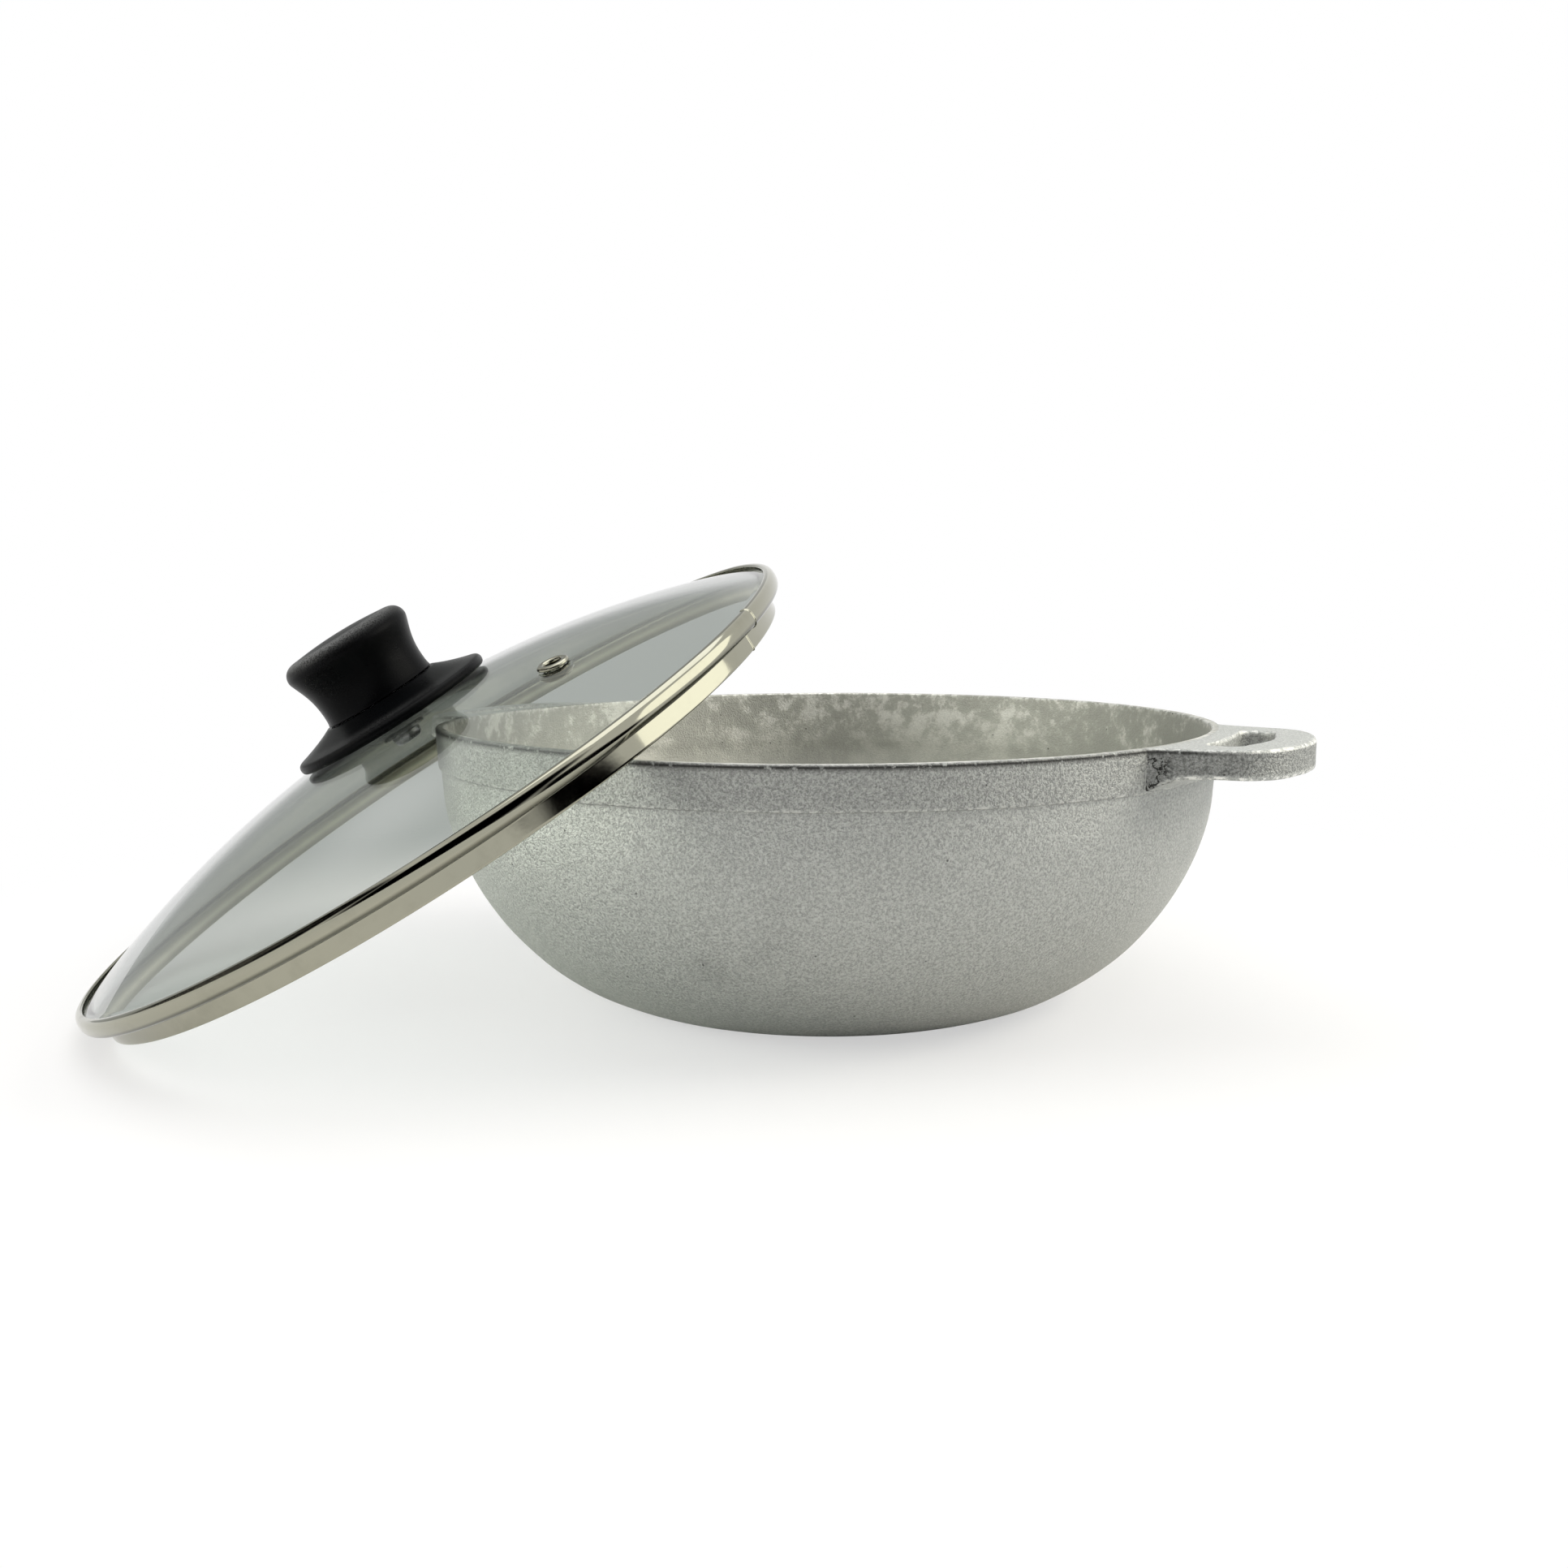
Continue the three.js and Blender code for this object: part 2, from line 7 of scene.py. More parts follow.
import math
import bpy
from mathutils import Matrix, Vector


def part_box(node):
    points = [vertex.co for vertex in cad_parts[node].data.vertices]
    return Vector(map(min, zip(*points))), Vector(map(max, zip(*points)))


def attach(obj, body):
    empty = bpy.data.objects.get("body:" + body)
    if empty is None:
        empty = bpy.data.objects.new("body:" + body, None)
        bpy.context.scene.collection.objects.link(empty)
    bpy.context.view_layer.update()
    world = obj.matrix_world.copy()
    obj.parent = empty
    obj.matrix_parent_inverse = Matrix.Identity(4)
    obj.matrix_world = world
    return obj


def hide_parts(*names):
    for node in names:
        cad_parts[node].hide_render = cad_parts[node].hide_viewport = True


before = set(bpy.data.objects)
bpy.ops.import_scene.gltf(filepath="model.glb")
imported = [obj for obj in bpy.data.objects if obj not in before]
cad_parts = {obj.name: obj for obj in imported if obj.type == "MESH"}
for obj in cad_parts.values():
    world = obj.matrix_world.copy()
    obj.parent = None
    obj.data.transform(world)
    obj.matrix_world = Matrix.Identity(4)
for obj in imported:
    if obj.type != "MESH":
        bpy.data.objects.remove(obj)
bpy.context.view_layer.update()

from types import SimpleNamespace

import bmesh
import bpy
import numpy as np
from bpy.props import FloatProperty, FloatVectorProperty, PointerProperty
from mathutils import Matrix, Vector

bl_info = {
    "name": "Caldero looks",
    "version": (1, 0, 0),
    "blender": (4, 5, 0),
    "location": "View3D > Sidebar > Caldero",
    "description": "Dresses a cast aluminium caldero and its glass lid over their packed frame",
    "category": "Object",
}

MM = 0.001
POT_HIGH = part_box("pot_body")[1]
WELD = 2e-7
CREASE = math.radians(38.0)
FULL_TURN = 2 * math.pi
UP = np.array([0.0, 0.0, 1.0])
BOWL_SIDES = 288
HANDLE_SIDES = 260
LID_SIDES = 288
KNOB_SIDES = 144
SCREW_SIDES = 288
SMALL_SIDES = 72
SEAM_SIDES = 24
PANEL_STEPS = 41
SENSOR_WIDTH = 36.0
WHITE = (1.0, 1.0, 1.0, 1.0)
BLACK = (0.0, 0.0, 0.0, 1.0)
CAST_TRAITS = ("inside", "worn", "flaw", "lip", "side", "frost", "smudge")
SMUDGE_PLACES = np.array([(0.0227, -0.1157, 0.0339), (0.0400, -0.1149, 0.0405)])


def size(label, note, millimetres):
    """A length that a user can change, given in millimetres and held in metres."""
    return FloatProperty(name=label, description=note, default=millimetres * MM, unit="LENGTH", precision=5)


def share(label, note, value, high=1.0):
    """A plain number that a user can change."""
    return FloatProperty(name=label, description=note, default=value, min=0.0, max=high, precision=3)


def slant(label, note, radians):
    """An angle that a user can change."""
    return FloatProperty(name=label, description=note, default=radians, subtype="ANGLE", unit="ROTATION")


def spot(label, note, place):
    """A point that a user can change, in metres."""
    return FloatVectorProperty(
        name=label, description=note, default=place, subtype="TRANSLATION", unit="LENGTH")


def tint(label, note, colour):
    """A colour that a user can change, in linear light and with an alpha of 1."""
    return FloatVectorProperty(
        name=label, description=note, default=(*colour, 1.0), size=4, subtype="COLOR", min=0.0, max=1.0)


class PotSizes(bpy.types.PropertyGroup):
    """Sizes of the cast bowl."""

    rim_radius: size("Rim radius", "Outer radius of the mouth", POT_HIGH[1] / MM)
    height: size("Height", "Table to the top of the rim", POT_HIGH[2] / MM)
    wall: size("Wall", "Thickness of the wall at the rim", 3.0)
    floor: size("Floor", "Thickness of the floor", 4.5)
    foot_radius: size("Foot radius", "Radius of the flat that the pot stands on", 70.0)
    shoulder_height: size("Shoulder height", "Where the bowl's curve ends and the wall begins", 71.0)
    draft: size("Draft", "How far the shoulder lies inside the rim", 1.9)
    roundness: share("Roundness", "Power of the bowl's curve: 1 is a cone, 2 an ellipse", 1.68, 3.0)
    rim_band: size("Rim band", "Height of the band above the parting line", 13.0)
    step: size("Step", "How far the rim band stands out at the parting line", 0.6)
    rim_round: size("Rim round", "Rounding of the rim's two edges", 0.9)
    frost: size("Frost", "How far the whitish bloom inside reaches down from the rim", 26.0)
    smudge: size("Smudge", "Reach of a grey smudge on the wall", 14.0)
    unevenness: size("Unevenness", "Height of the casting's slow waves", 0.16)


class HandleSizes(bpy.types.PropertyGroup):
    """Sizes of the two cast handles."""

    reach: size("Reach", "How far the handle stands out past the rim", 30.7)
    root_width: size("Root width", "Width where the handle leaves the wall", 83.0)
    shoulder_width: size("Shoulder width", "Width where the corners start", 75.0)
    tip_width: size("Tip width", "Width of the crowned end", 50.0)
    corner: size("Corner", "Tip to the start of the corners", 17.7)
    crown: size("Crown", "Rise of the crowned end", 4.9)
    thickness: size("Thickness", "Thickness of the handle", 9.2)
    edge_round: size("Edge round", "Rounding of the handle's edges", 1.2)
    bar: size("Bar", "Width of the grip in front of the finger hole", 12.3)
    land: size("Land", "Metal between the rim and the finger hole", 6.0)
    hole_width: size("Hole width", "Length of the finger hole", 50.0)
    hole_back: size("Hole back", "Straight part of the hole's back edge", 40.0)
    hole_front: size("Hole front", "Straight part of the hole's front edge", 36.0)
    flare: size("Flare", "How far the root spreads into the wall", 3.0)
    flare_reach: size("Flare reach", "How far from the wall the spread starts", 9.0)
    flaw_reach: size("Flaw reach", "How far the cracks of the root reach from the wall", 6.0)
    lip_depth: size("Lip depth", "From the top to the dark line under the top edge", 0.95)
    lip_width: size("Lip width", "Width of that line", 0.6)


class LidSizes(bpy.types.PropertyGroup):
    """Sizes of the glass dome and its rolled band."""

    gap: size("Gap", "Clearance between seated pieces", 0.3)
    bead_radius: size("Bead radius", "Outer radius of the band's bead", 133.5)
    bead_round: size("Bead round", "Width of the bead's round", 2.2)
    sheet: size("Sheet", "Thickness of the band", 0.8)
    skirt_radius: size("Skirt radius", "Outer radius of the skirt inside the rim", 128.0)
    skirt_height: size("Skirt height", "Depth of the skirt under the bead", 6.2)
    glass: size("Glass", "Thickness of the glass", 3.8)
    dome_rise: size("Dome rise", "Rise of the glass over its edge", 23.4)
    edge_flat: size("Edge flat", "Flat land of the glass inside its rounded edge", 1.0)
    screw_hole: size("Screw hole", "Radius of the hole for the knob's screw", 4.0)
    seam_turn: slant(
        "Seam turn", "Where the band's ends meet, from the direction of the lean", math.radians(-38.2))
    seam_width: size("Seam width", "Width of the joint between the band's ends", 0.35)
    seam_depth: size("Seam depth", "Depth of that joint", 0.3)


class KnobSizes(bpy.types.PropertyGroup):
    """Sizes of the knob and of what fastens it."""

    gasket_radius: size("Gasket radius", "Radius of the soft ring under the guard", 15.0)
    gasket: size("Gasket", "Thickness of that ring", 2.1)
    guard_radius: size("Guard radius", "Radius of the wide guard", 35.0)
    guard_lift: size("Guard lift", "From the glass to the underside of the guard", 0.9)
    guard_edge: size("Guard edge", "Thickness of the guard at its edge", 3.4)
    # Reach of the painted highlight along the knob's edges.
    highlight_reach: size("Rub reach", "How far the rubbed edges reach", 2.0)
    hub_radius: size("Hub radius", "Radius of the flat under the grip", 20.5)
    hub_rise: size("Hub rise", "Rise of the hub over the edge", 5.0)
    foot_radius: size("Foot radius", "Radius of the grip's foot", 19.4)
    waist_radius: size("Waist radius", "Radius of the grip's waist", 19.0)
    grip_radius: size("Grip radius", "Radius of the grip's brim", 22.0)
    grip_height: size("Grip height", "Foot to top of the grip", 24.6)
    waist_height: size("Waist height", "Foot to the waist", 4.5)
    crown: size("Crown", "Rise of the grip's top", 1.0)
    top_round: size("Top round", "Rounding of the top edge, from the brim up", 5.6)
    insert_radius: size("Insert radius", "Radius of the brass insert", 4.6)
    insert_height: size("Insert height", "Height of the brass insert", 13.0)
    setback: size("Setback", "How far the insert lies inside the foot", 0.4)
    screw_radius: size("Screw radius", "Radius of the screw's shank", 2.5)
    bite: size("Bite", "Length of the screw inside the insert", 10.0)
    head_radius: size("Head radius", "Radius of the screw's head", 5.0)
    head_height: size("Head height", "Height of the screw's head", 3.0)
    drive_width: size("Drive width", "Width of the slots of the cross drive", 1.2)
    drive_length: size("Drive length", "Length of those slots", 5.4)
    drive_depth: size("Drive depth", "Depth of those slots", 1.6)
    washer_radius: size("Washer radius", "Radius of the screw's washer", 7.5)
    washer: size("Washer", "Thickness of the screw's washer", 1.2)
    seal_radius: size("Seal radius", "Radius of the soft seal under the glass", 8.5)
    seal: size("Seal", "Thickness of that seal", 2.0)


class VentSizes(bpy.types.PropertyGroup):
    """Sizes of the steam vent."""

    bore: size("Bore", "Radius of the vent's bore", 2.7)
    tube: size("Tube", "Thickness of the vent's tube", 0.8)
    head_radius: size("Head radius", "Radius of the rolled head", 5.3)
    head: size("Head", "Height of the rolled head", 1.3)
    roll_radius: size("Roll radius", "Radius of the end rolled out under the glass", 4.9)
    roll: size("Roll", "Height of that end", 1.0)
    washer_radius: size("Washer radius", "Radius of the vent's washer", 5.8)
    washer: size("Washer", "Thickness of the vent's washer", 0.8)


class Finishes(bpy.types.PropertyGroup):
    """Colours of the finishes."""

    cast_pale: tint("Cast pale", "Clean sand-cast skin", (0.435, 0.447, 0.427))
    cast_dull: tint("Cast dull", "Smudged sand-cast skin", (0.345, 0.357, 0.34))
    cast_bright: tint("Cast bright", "Worn edges", (0.80, 0.80, 0.76))
    # Also the colour of the painted shade lines under the parting step and under the handles' top edge.
    dark_flaw_and_shade: tint("Cast flaw", "Cracks and pits of the casting", (0.03, 0.03, 0.028))
    inside_pale: tint("Inside pale", "Stained patches inside the bowl", (0.49, 0.49, 0.445))
    inside_dull: tint("Inside dull", "Clean metal inside the bowl", (0.37, 0.373, 0.338))
    glass: tint("Glass", "Tint of the glass", (0.815, 0.84, 0.815))
    glass_shadow: tint("Glass shadow", "Tint of the light that the glass lets pass", (0.78, 0.81, 0.79))
    steel: tint("Steel", "Polished band and vent", (0.345, 0.338, 0.268))
    steel_dull: tint("Steel dull", "Fingered patches of the band", (0.262, 0.255, 0.198))
    black: tint("Black", "Moulded knob", (0.0015, 0.0017, 0.002))
    # Grey of the painted highlight along the knob's edges.
    black_painted_highlight: tint("Black rubbed", "Rubbed edges of the knob", (0.20, 0.205, 0.205))
    brass: tint("Brass", "Insert of the knob", (0.60, 0.45, 0.18))
    silicone: tint("Silicone", "Soft ring and seal", (0.26, 0.28, 0.27))
    zinc: tint("Zinc", "Screw and its washer", (0.34, 0.345, 0.35))


class StageSizes(bpy.types.PropertyGroup):
    """Camera, lamps and floor."""

    camera_place: spot("Camera place", "Where the camera stands", (0.24215, -0.45863, 0.13839))
    camera_aim: spot("Camera aim", "A point in the middle of the picture", (-0.01153, -0.00994, 0.06969))
    camera_roll: slant("Camera roll", "Turn of the camera about its view", -0.0057)
    lens: share("Lens", "Focal length in millimetres on a 36 mm sensor", 34.01, 500.0)
    floor_width: size("Floor width", "Width of the floor", 12000.0)
    floor_near: size("Floor near", "Where the floor starts to turn white", 90.0)
    floor_far: size("Floor far", "Where the floor is plain white", 420.0)
    floor_glow: share("Floor glow", "Share of plain white in the floor beside the part", 0.55)
    floor_colour: tint("Floor colour", "Pale floor", (0.92, 0.92, 0.92))
    through: tint("Through", "Plain surroundings as seen through glass", (0.46, 0.48, 0.465))
    window: tint("Window", "Mirrored window on the right", (1.0, 0.99, 0.93))
    mirrored: tint("Mirrored", "Grey card that the dome mirrors", (0.46, 0.47, 0.46))
    glint_place: spot("Glint place", "Middle of the white patch on the grey card", (-1.126, 0.178, 0.709))
    glint_reach: size("Glint reach", "Where that patch has faded out", 240.0)
    ambient: share("Ambient", "Level of the world's light", 0.42, 4.0)
    lamp: share("Lamp", "Level of the soft lamps", 1.0, 4.0)


GROUPS = {
    "pot": PotSizes, "handle": HandleSizes, "lid": LidSizes, "knob": KnobSizes, "vent": VentSizes,
    "finish": Finishes, "stage": StageSizes}


def settings(context):
    """The property groups of the scene by their short names."""
    return SimpleNamespace(**{name: getattr(context.scene, f"caldero_{name}") for name in GROUPS})


# Curves and surfaces

def bezier(*corners, steps=10):
    """Bezier curve over any corners: the sum of C(n, k) t^k (1 - t)^(n - k) times corner k."""
    t = np.linspace(0.0, 1.0, steps + 1)[:, None]
    n = len(corners) - 1
    return sum(
        math.comb(n, k) * t ** k * (1 - t) ** (n - k) * np.array(corner) for k, corner in enumerate(corners))


def pairs(x, y):
    """Points of a plane from their two coordinates."""
    return np.stack([x, y], axis=-1)


def clamp(value):
    """A value kept between 0 and 1."""
    return np.clip(value, 0, 1)


def chain(*runs):
    """Runs of points joined end to end, without repeated points."""
    points = np.concatenate([np.atleast_2d(np.array(run, float)) for run in runs])
    apart = np.linalg.norm(np.diff(points, axis=0), axis=1) > WELD
    return points[np.r_[True, apart]]


def path(start, *runs):
    """A line from a start through runs, each an array of points or a tuple of steps and corners.

    Such a tuple stands for the Bezier curve from where the line has come to, over those corners.
    """
    line = [np.array([start], float)]
    for run in runs:
        line.append(run if isinstance(run, np.ndarray) else bezier(line[-1][-1], *run[1:], steps=run[0]))
    return chain(*line)


def arc(radius, angles):
    """Points (radius cos a, radius sin a) in a plane."""
    return radius * pairs(np.cos(angles), np.sin(angles))


def mirrored(half_plan):
    """A closed plan from its half with y >= 0, whose first and last points lie on the X axis."""
    return np.concatenate([half_plan, half_plan[-2:0:-1] * (1, -1)])


def unit(vectors):
    """Vectors of length 1 in the same directions."""
    return vectors / np.maximum(np.linalg.norm(vectors, axis=-1, keepdims=True), 1e-12)


def hill(away, reach):
    """Bell curve of a distance: exp(-(away / reach)^2)."""
    return np.exp(-((away / reach) ** 2))


def near_rings(points, *rings):
    """Sum of part * exp(-(distance / reach)^2) over rings about Z, each a part, radius, height and reach."""
    radius = np.hypot(points[..., 0], points[..., 1])
    return sum(
        part * hill(np.hypot(radius - ring, points[..., 2] - height), reach)
        for part, ring, height, reach in rings)


def turns(count):
    """Equal angles round a full turn, without the last one that closes it."""
    return np.arange(count) * (FULL_TURN / count)


def turned(profile, angles):
    """Surface of revolution: the profile's (r, z) at angle a lies at (r cos a, r sin a, z)."""
    r, z = profile.T
    flat = np.ones((len(angles), 1))
    return np.stack([np.cos(angles)[:, None] * r, np.sin(angles)[:, None] * r, flat * z], axis=-1)


def seated(points, seat):
    """Points given along a seat's three axes, moved to where that seat is."""
    return seat.origin + points @ seat.axes


def spun(profile, sides, seat):
    """Surface of revolution of a profile about a seat's third axis."""
    return seated(turned(profile, turns(sides)), seat)


def normals_of(grid):
    """Unit normals of a grid that closes both ways: the cross product of its two central differences."""
    across = np.roll(grid, -1, axis=0) - np.roll(grid, 1, axis=0)
    along = np.roll(grid, -1, axis=1) - np.roll(grid, 1, axis=1)
    return unit(np.cross(across, along))


def waves(points, shortest, longest, seed, count=28):
    """Slow waves from -1 to 1: the mean of plane waves sin(k.p + phase) of seeded directions and lengths."""
    draw = np.random.default_rng(seed)
    heading = unit(draw.normal(size=(count, 3)))
    length = draw.uniform(shortest, longest, count)
    phase = draw.uniform(0, FULL_TURN, count)
    swing = np.sin(points @ (heading * (FULL_TURN / length)[:, None]).T + phase)
    return swing.mean(axis=-1) * math.sqrt(count) / 2


def mesh_of(name, points, quads, traits, material):
    """A mesh of points and quads, with traits kept as attributes of its points."""
    mesh = bpy.data.meshes.new(name)
    mesh.from_pydata(points.tolist(), [], quads.tolist())
    for trait, values in traits.items():
        kept = mesh.attributes.new(trait, "FLOAT", "POINT")
        kept.data.foreach_set("value", values.astype(np.float32).ravel())
    mesh.materials.append(material)
    return mesh


def placed(name, data):
    """A new object of the scene, at the origin."""
    made = bpy.data.objects.new(name, data)
    bpy.context.scene.collection.objects.link(made)
    return made


def skin(name, grid, material, closed=True, traits=None):
    """A mesh over a grid of points whose rows close round, and whose columns close too where asked.

    Points that fall together, such as a pole's, are welded, and faces point outwards.
    """
    rows, columns = grid.shape[:2]
    index = np.arange(rows * columns).reshape(rows, columns)
    ahead = np.roll(index, -1, axis=0)
    quads = np.stack([index, ahead, np.roll(ahead, -1, axis=1), np.roll(index, -1, axis=1)], axis=-1)
    quads = (quads if closed else quads[:, :-1]).reshape(-1, 4)
    points = grid.reshape(-1, 3)
    a, b, c, d = (points[quads[:, k]] for k in range(4))
    volume = np.einsum("ij,ij->", a, np.cross(b, c)) + np.einsum("ij,ij->", a, np.cross(c, d))
    mesh = mesh_of(name, points, quads if volume > 0 else quads[:, ::-1], traits or {}, material)
    work = bmesh.new()
    work.from_mesh(mesh)
    bmesh.ops.remove_doubles(work, verts=work.verts, dist=WELD)
    work.to_mesh(mesh)
    work.free()
    mesh.shade_smooth()
    mesh.set_sharp_from_angle(angle=CREASE)
    return placed(name, mesh)


def dress(piece, body, slot, *nodes):
    """Gives a piece its body and hides the frame's nodes that it stands for; the slot is not used."""
    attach(piece, body)
    if nodes:
        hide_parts(*nodes)


# Places in the frame

def node_points(name):
    """Vertices of one of the frame's nodes."""
    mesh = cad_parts[name].data
    points = np.empty(3 * len(mesh.vertices))
    mesh.vertices.foreach_get("co", points)
    return points.reshape(-1, 3)


def lid_seat():
    """The lid's own axes: up the slope, across it, and out along the axis, from the skirt's lower edge.

    The axis is the direction in which the band's points spread least, towards the knob.
    """
    band = node_points("lid_band")
    middle = band.mean(axis=0)
    axis = np.linalg.svd(band - middle, full_matrices=False)[2][2]
    axis = axis * np.sign(axis @ (node_points("knob_grip").mean(axis=0) - middle))
    slope = unit(UP - (UP @ axis) * axis)
    origin = middle + axis * ((band - middle) @ axis).min()
    return SimpleNamespace(origin=origin, axes=np.stack([slope, np.cross(axis, slope), axis]))


def lid_levels(lid):
    """Heights and radii of the lid that follow from its sizes, above the skirt's lower edge."""
    bottom = lid.skirt_height + lid.sheet + lid.gap
    top = bottom + lid.glass
    band_top = top + lid.gap + lid.sheet
    edge = lid.bead_radius - lid.sheet - lid.gap - lid.glass / 2
    dome_edge = edge - lid.edge_flat
    radius = (dome_edge ** 2 + lid.dome_rise ** 2) / (2 * lid.dome_rise)
    peak = top + lid.dome_rise
    return SimpleNamespace(
        bottom=bottom, top=top, band_top=band_top, bead_middle=(band_top + lid.skirt_height) / 2,
        edge=edge, dome_edge=dome_edge, radius=radius, peak=peak, centre=peak - radius)


def knob_seat(lid):
    """The lid's axes from the top of the glass."""
    seat = lid_seat()
    return SimpleNamespace(origin=seat.origin + lid_levels(lid).peak * seat.axes[2], axes=seat.axes)


def vent_seat(lid):
    """Axes of the vent, square to the glass, from the glass's outer face."""
    seat = lid_seat()
    level = lid_levels(lid)
    centre = seat.origin + level.centre * seat.axes[2]
    axis = unit(node_points("vent_barrel").mean(axis=0) - centre)
    across = unit(np.cross(axis, seat.axes[0]))
    return SimpleNamespace(
        origin=centre + level.radius * axis, axes=np.stack([np.cross(across, axis), across, axis]))


def knob_levels(lid, knob):
    """Heights of the knob's stack from the top of the glass, and the drop of the glass at a radius."""
    radius = lid_levels(lid).radius

    def drop(r):
        return radius - np.sqrt(radius ** 2 - r ** 2)

    edge_bottom = knob.guard_lift - drop(knob.guard_radius)
    edge_top = edge_bottom + knob.guard_edge
    guard_top = edge_top + knob.hub_rise
    foot = guard_top + lid.gap
    seal_top = -(lid.glass + lid.gap)
    washer_top = seal_top - knob.seal - lid.gap
    return SimpleNamespace(
        drop=drop, gasket_top=lid.gap + knob.gasket, edge_bottom=edge_bottom, edge_top=edge_top,
        guard_top=guard_top, foot=foot, insert=foot + knob.setback, seal_top=seal_top, washer_top=washer_top,
        head_top=washer_top - knob.washer - lid.gap, hole=knob.screw_radius + lid.gap)


# Profiles and surfaces of the pieces

def bowl_curve(pot, foot_radius, foot_height, top_radius, steps=56):
    """Quarter of a superellipse from foot to shoulder: r and z grow as sin and 1 - cos to the power 2 / n."""
    angle = np.linspace(0.0, math.pi / 2, steps + 1)
    out = np.sin(angle) ** (2 / pot.roundness)
    up = 1 - np.cos(angle) ** (2 / pot.roundness)
    radius = foot_radius + (top_radius - foot_radius) * out
    return pairs(radius, foot_height + (pot.shoulder_height - foot_height) * up)


def bowl_profile(pot):
    """Flat foot, round side, parting step, rounded rim, inner wall and floor, from axis to axis."""
    rim, top, turn, step = pot.rim_radius, pot.height, pot.rim_round, pot.step
    shoulder, inner, part = rim - pot.draft, rim - pot.wall, top - pot.rim_band
    inside = bowl_curve(pot, pot.foot_radius - pot.wall, pot.floor, shoulder - pot.wall)[::-1]
    return path(
        (0.0, 0.0),
        (12, (pot.foot_radius, 0.0)),
        bowl_curve(pot, pot.foot_radius, 0.0, shoulder),
        (8, (rim - 2.2 * step, part - step / 2)),
        (8, (rim - 2.1 * step, part), (rim - step, part), (rim - 0.8 * step, part + step / 2)),
        (16, (rim, top - turn)),
        (6, (rim, top), (rim - turn, top)),
        (3, (inner + turn, top)),
        (6, (inner, top), (inner, top - turn)),
        (14, inside[0]),
        inside,
        (14, (0.0, pot.floor)))


def cast_traits(shape, **given):
    """Every trait of the cast skin over a grid, 0 where it isn't given."""
    return {name: np.broadcast_to(given.get(name, 0.0), shape) for name in CAST_TRAITS}


def bowl_surface(pot):
    """The turned bowl with slow waves of the casting along its normals, and its traits.

    These are the inside, worn edges at the rim and the parting line, a dark line under the rim's outer edge,
    painted shade under the parting step, the darker outer face of the rim band, the bloom under the rim and
    two smudges. The waves die out towards the foot and calm down at the rim.
    """
    rim, top, step = pot.rim_radius, pot.height, pot.step
    part = top - pot.rim_band
    calm_foot, calm_rim, rim_calm = 6 * MM, 2 * MM, 0.25
    edge_reach, fin_reach, lip_reach, joint_reach = 1.1 * MM, 0.45 * MM, 0.75 * MM, 0.5 * MM
    profile = bowl_profile(pot)
    grid = turned(profile, turns(BOWL_SIDES))
    worn = near_rings(
        grid, (0.4, rim, top, edge_reach), (0.6, rim - pot.wall, top, edge_reach),
        (0.5, rim - step, part + step / 3, fin_reach))
    # A dark line under the rim's outer edge, and painted shade under the parting step, whose ledge faces
    # down.
    lip = near_rings(
        grid, (1.0, rim, top - pot.rim_round, lip_reach),
        (0.2, rim - 1.8 * step, part - 0.1 * MM, joint_reach))
    lift = pot.unevenness * clamp(grid[..., 2] / calm_foot) * waves(grid, 14 * MM, 55 * MM, seed=3)
    level = np.clip((top - grid[..., 2]) / calm_rim, rim_calm, 1)
    grid = grid + normals_of(grid) * (lift * level)[..., None]
    inside = np.arange(len(profile)) >= np.argmax(profile[:, 1] >= top - WELD)
    # Darker outer face of the rim band, above the parting line.
    side = 0.45 * (1 - inside) * (grid[..., 2] > part)
    frost = inside * clamp((grid[..., 2] - top + pot.frost) / (0.7 * pot.frost))
    smudge = hill(np.linalg.norm(grid[..., None, :] - SMUDGE_PLACES, axis=-1), pot.smudge).max(axis=-1)
    return grid, cast_traits(
        grid.shape[:2], inside=inside, worn=worn, lip=lip, side=side, frost=frost, smudge=smudge)


def handle_outline(pot, handle):
    """Plan of a handle, counter-clockwise from its tip: crowned end, round corners, spreading sides."""
    tip = pot.rim_radius + handle.reach
    back = pot.rim_radius - pot.wall / 2
    half = handle.root_width / 2
    shoulder = np.array([tip - handle.corner, handle.shoulder_width / 2])
    crown = np.array([tip - handle.crown, handle.tip_width / 2])
    peak = np.array([tip + handle.crown, 0.0])
    root_angle = math.asin((half + handle.flare) / back)
    root = np.array([math.sqrt(pot.rim_radius ** 2 - half ** 2), half])
    side = shoulder - root
    leave = root + side * (handle.flare_reach / np.linalg.norm(side)) * 0.7
    reach = np.linalg.solve(np.stack([side, peak - crown], axis=1), crown - shoulder)[0]
    return mirrored(path(
        (tip, 0.0),
        (14, (crown + peak) / 2, crown),
        (20, shoulder + side * reach, shoulder),
        (5, leave),
        (9, root, arc(back, root_angle)),
        arc(back, np.linspace(root_angle, 0.0, 17))))


def finger_outline(pot, handle):
    """Plan of a finger hole, counter-clockwise: its back follows the rim and its front the crowned end."""
    back = pot.rim_radius + handle.land
    angle = math.asin(handle.hole_back / 2 / back)
    far = arc(back, angle)
    near = np.array([pot.rim_radius + handle.reach - handle.bar - handle.crown / 2, handle.hole_front / 2])
    end = np.array([(far[0] + near[0]) / 2, handle.hole_width / 2])
    bow = near[0] + handle.crown / 2
    return mirrored(path(
        (bow, 0.0),
        (10, (bow, near[1] / 2), near),
        (10, (near[0], end[1]), end),
        (10, (far[0], end[1]), far),
        arc(back, np.linspace(angle, 0.0, 13))))


def round_plan(outline, middle, angles):
    """Where rays at the given angles from a middle point meet a closed outline, found by their bearing."""
    ray = outline - middle
    bearing = np.arctan2(ray[:, 1], ray[:, 0])
    return np.stack([np.interp(angles, bearing, outline[:, k], period=FULL_TURN) for k in (0, 1)], axis=-1)


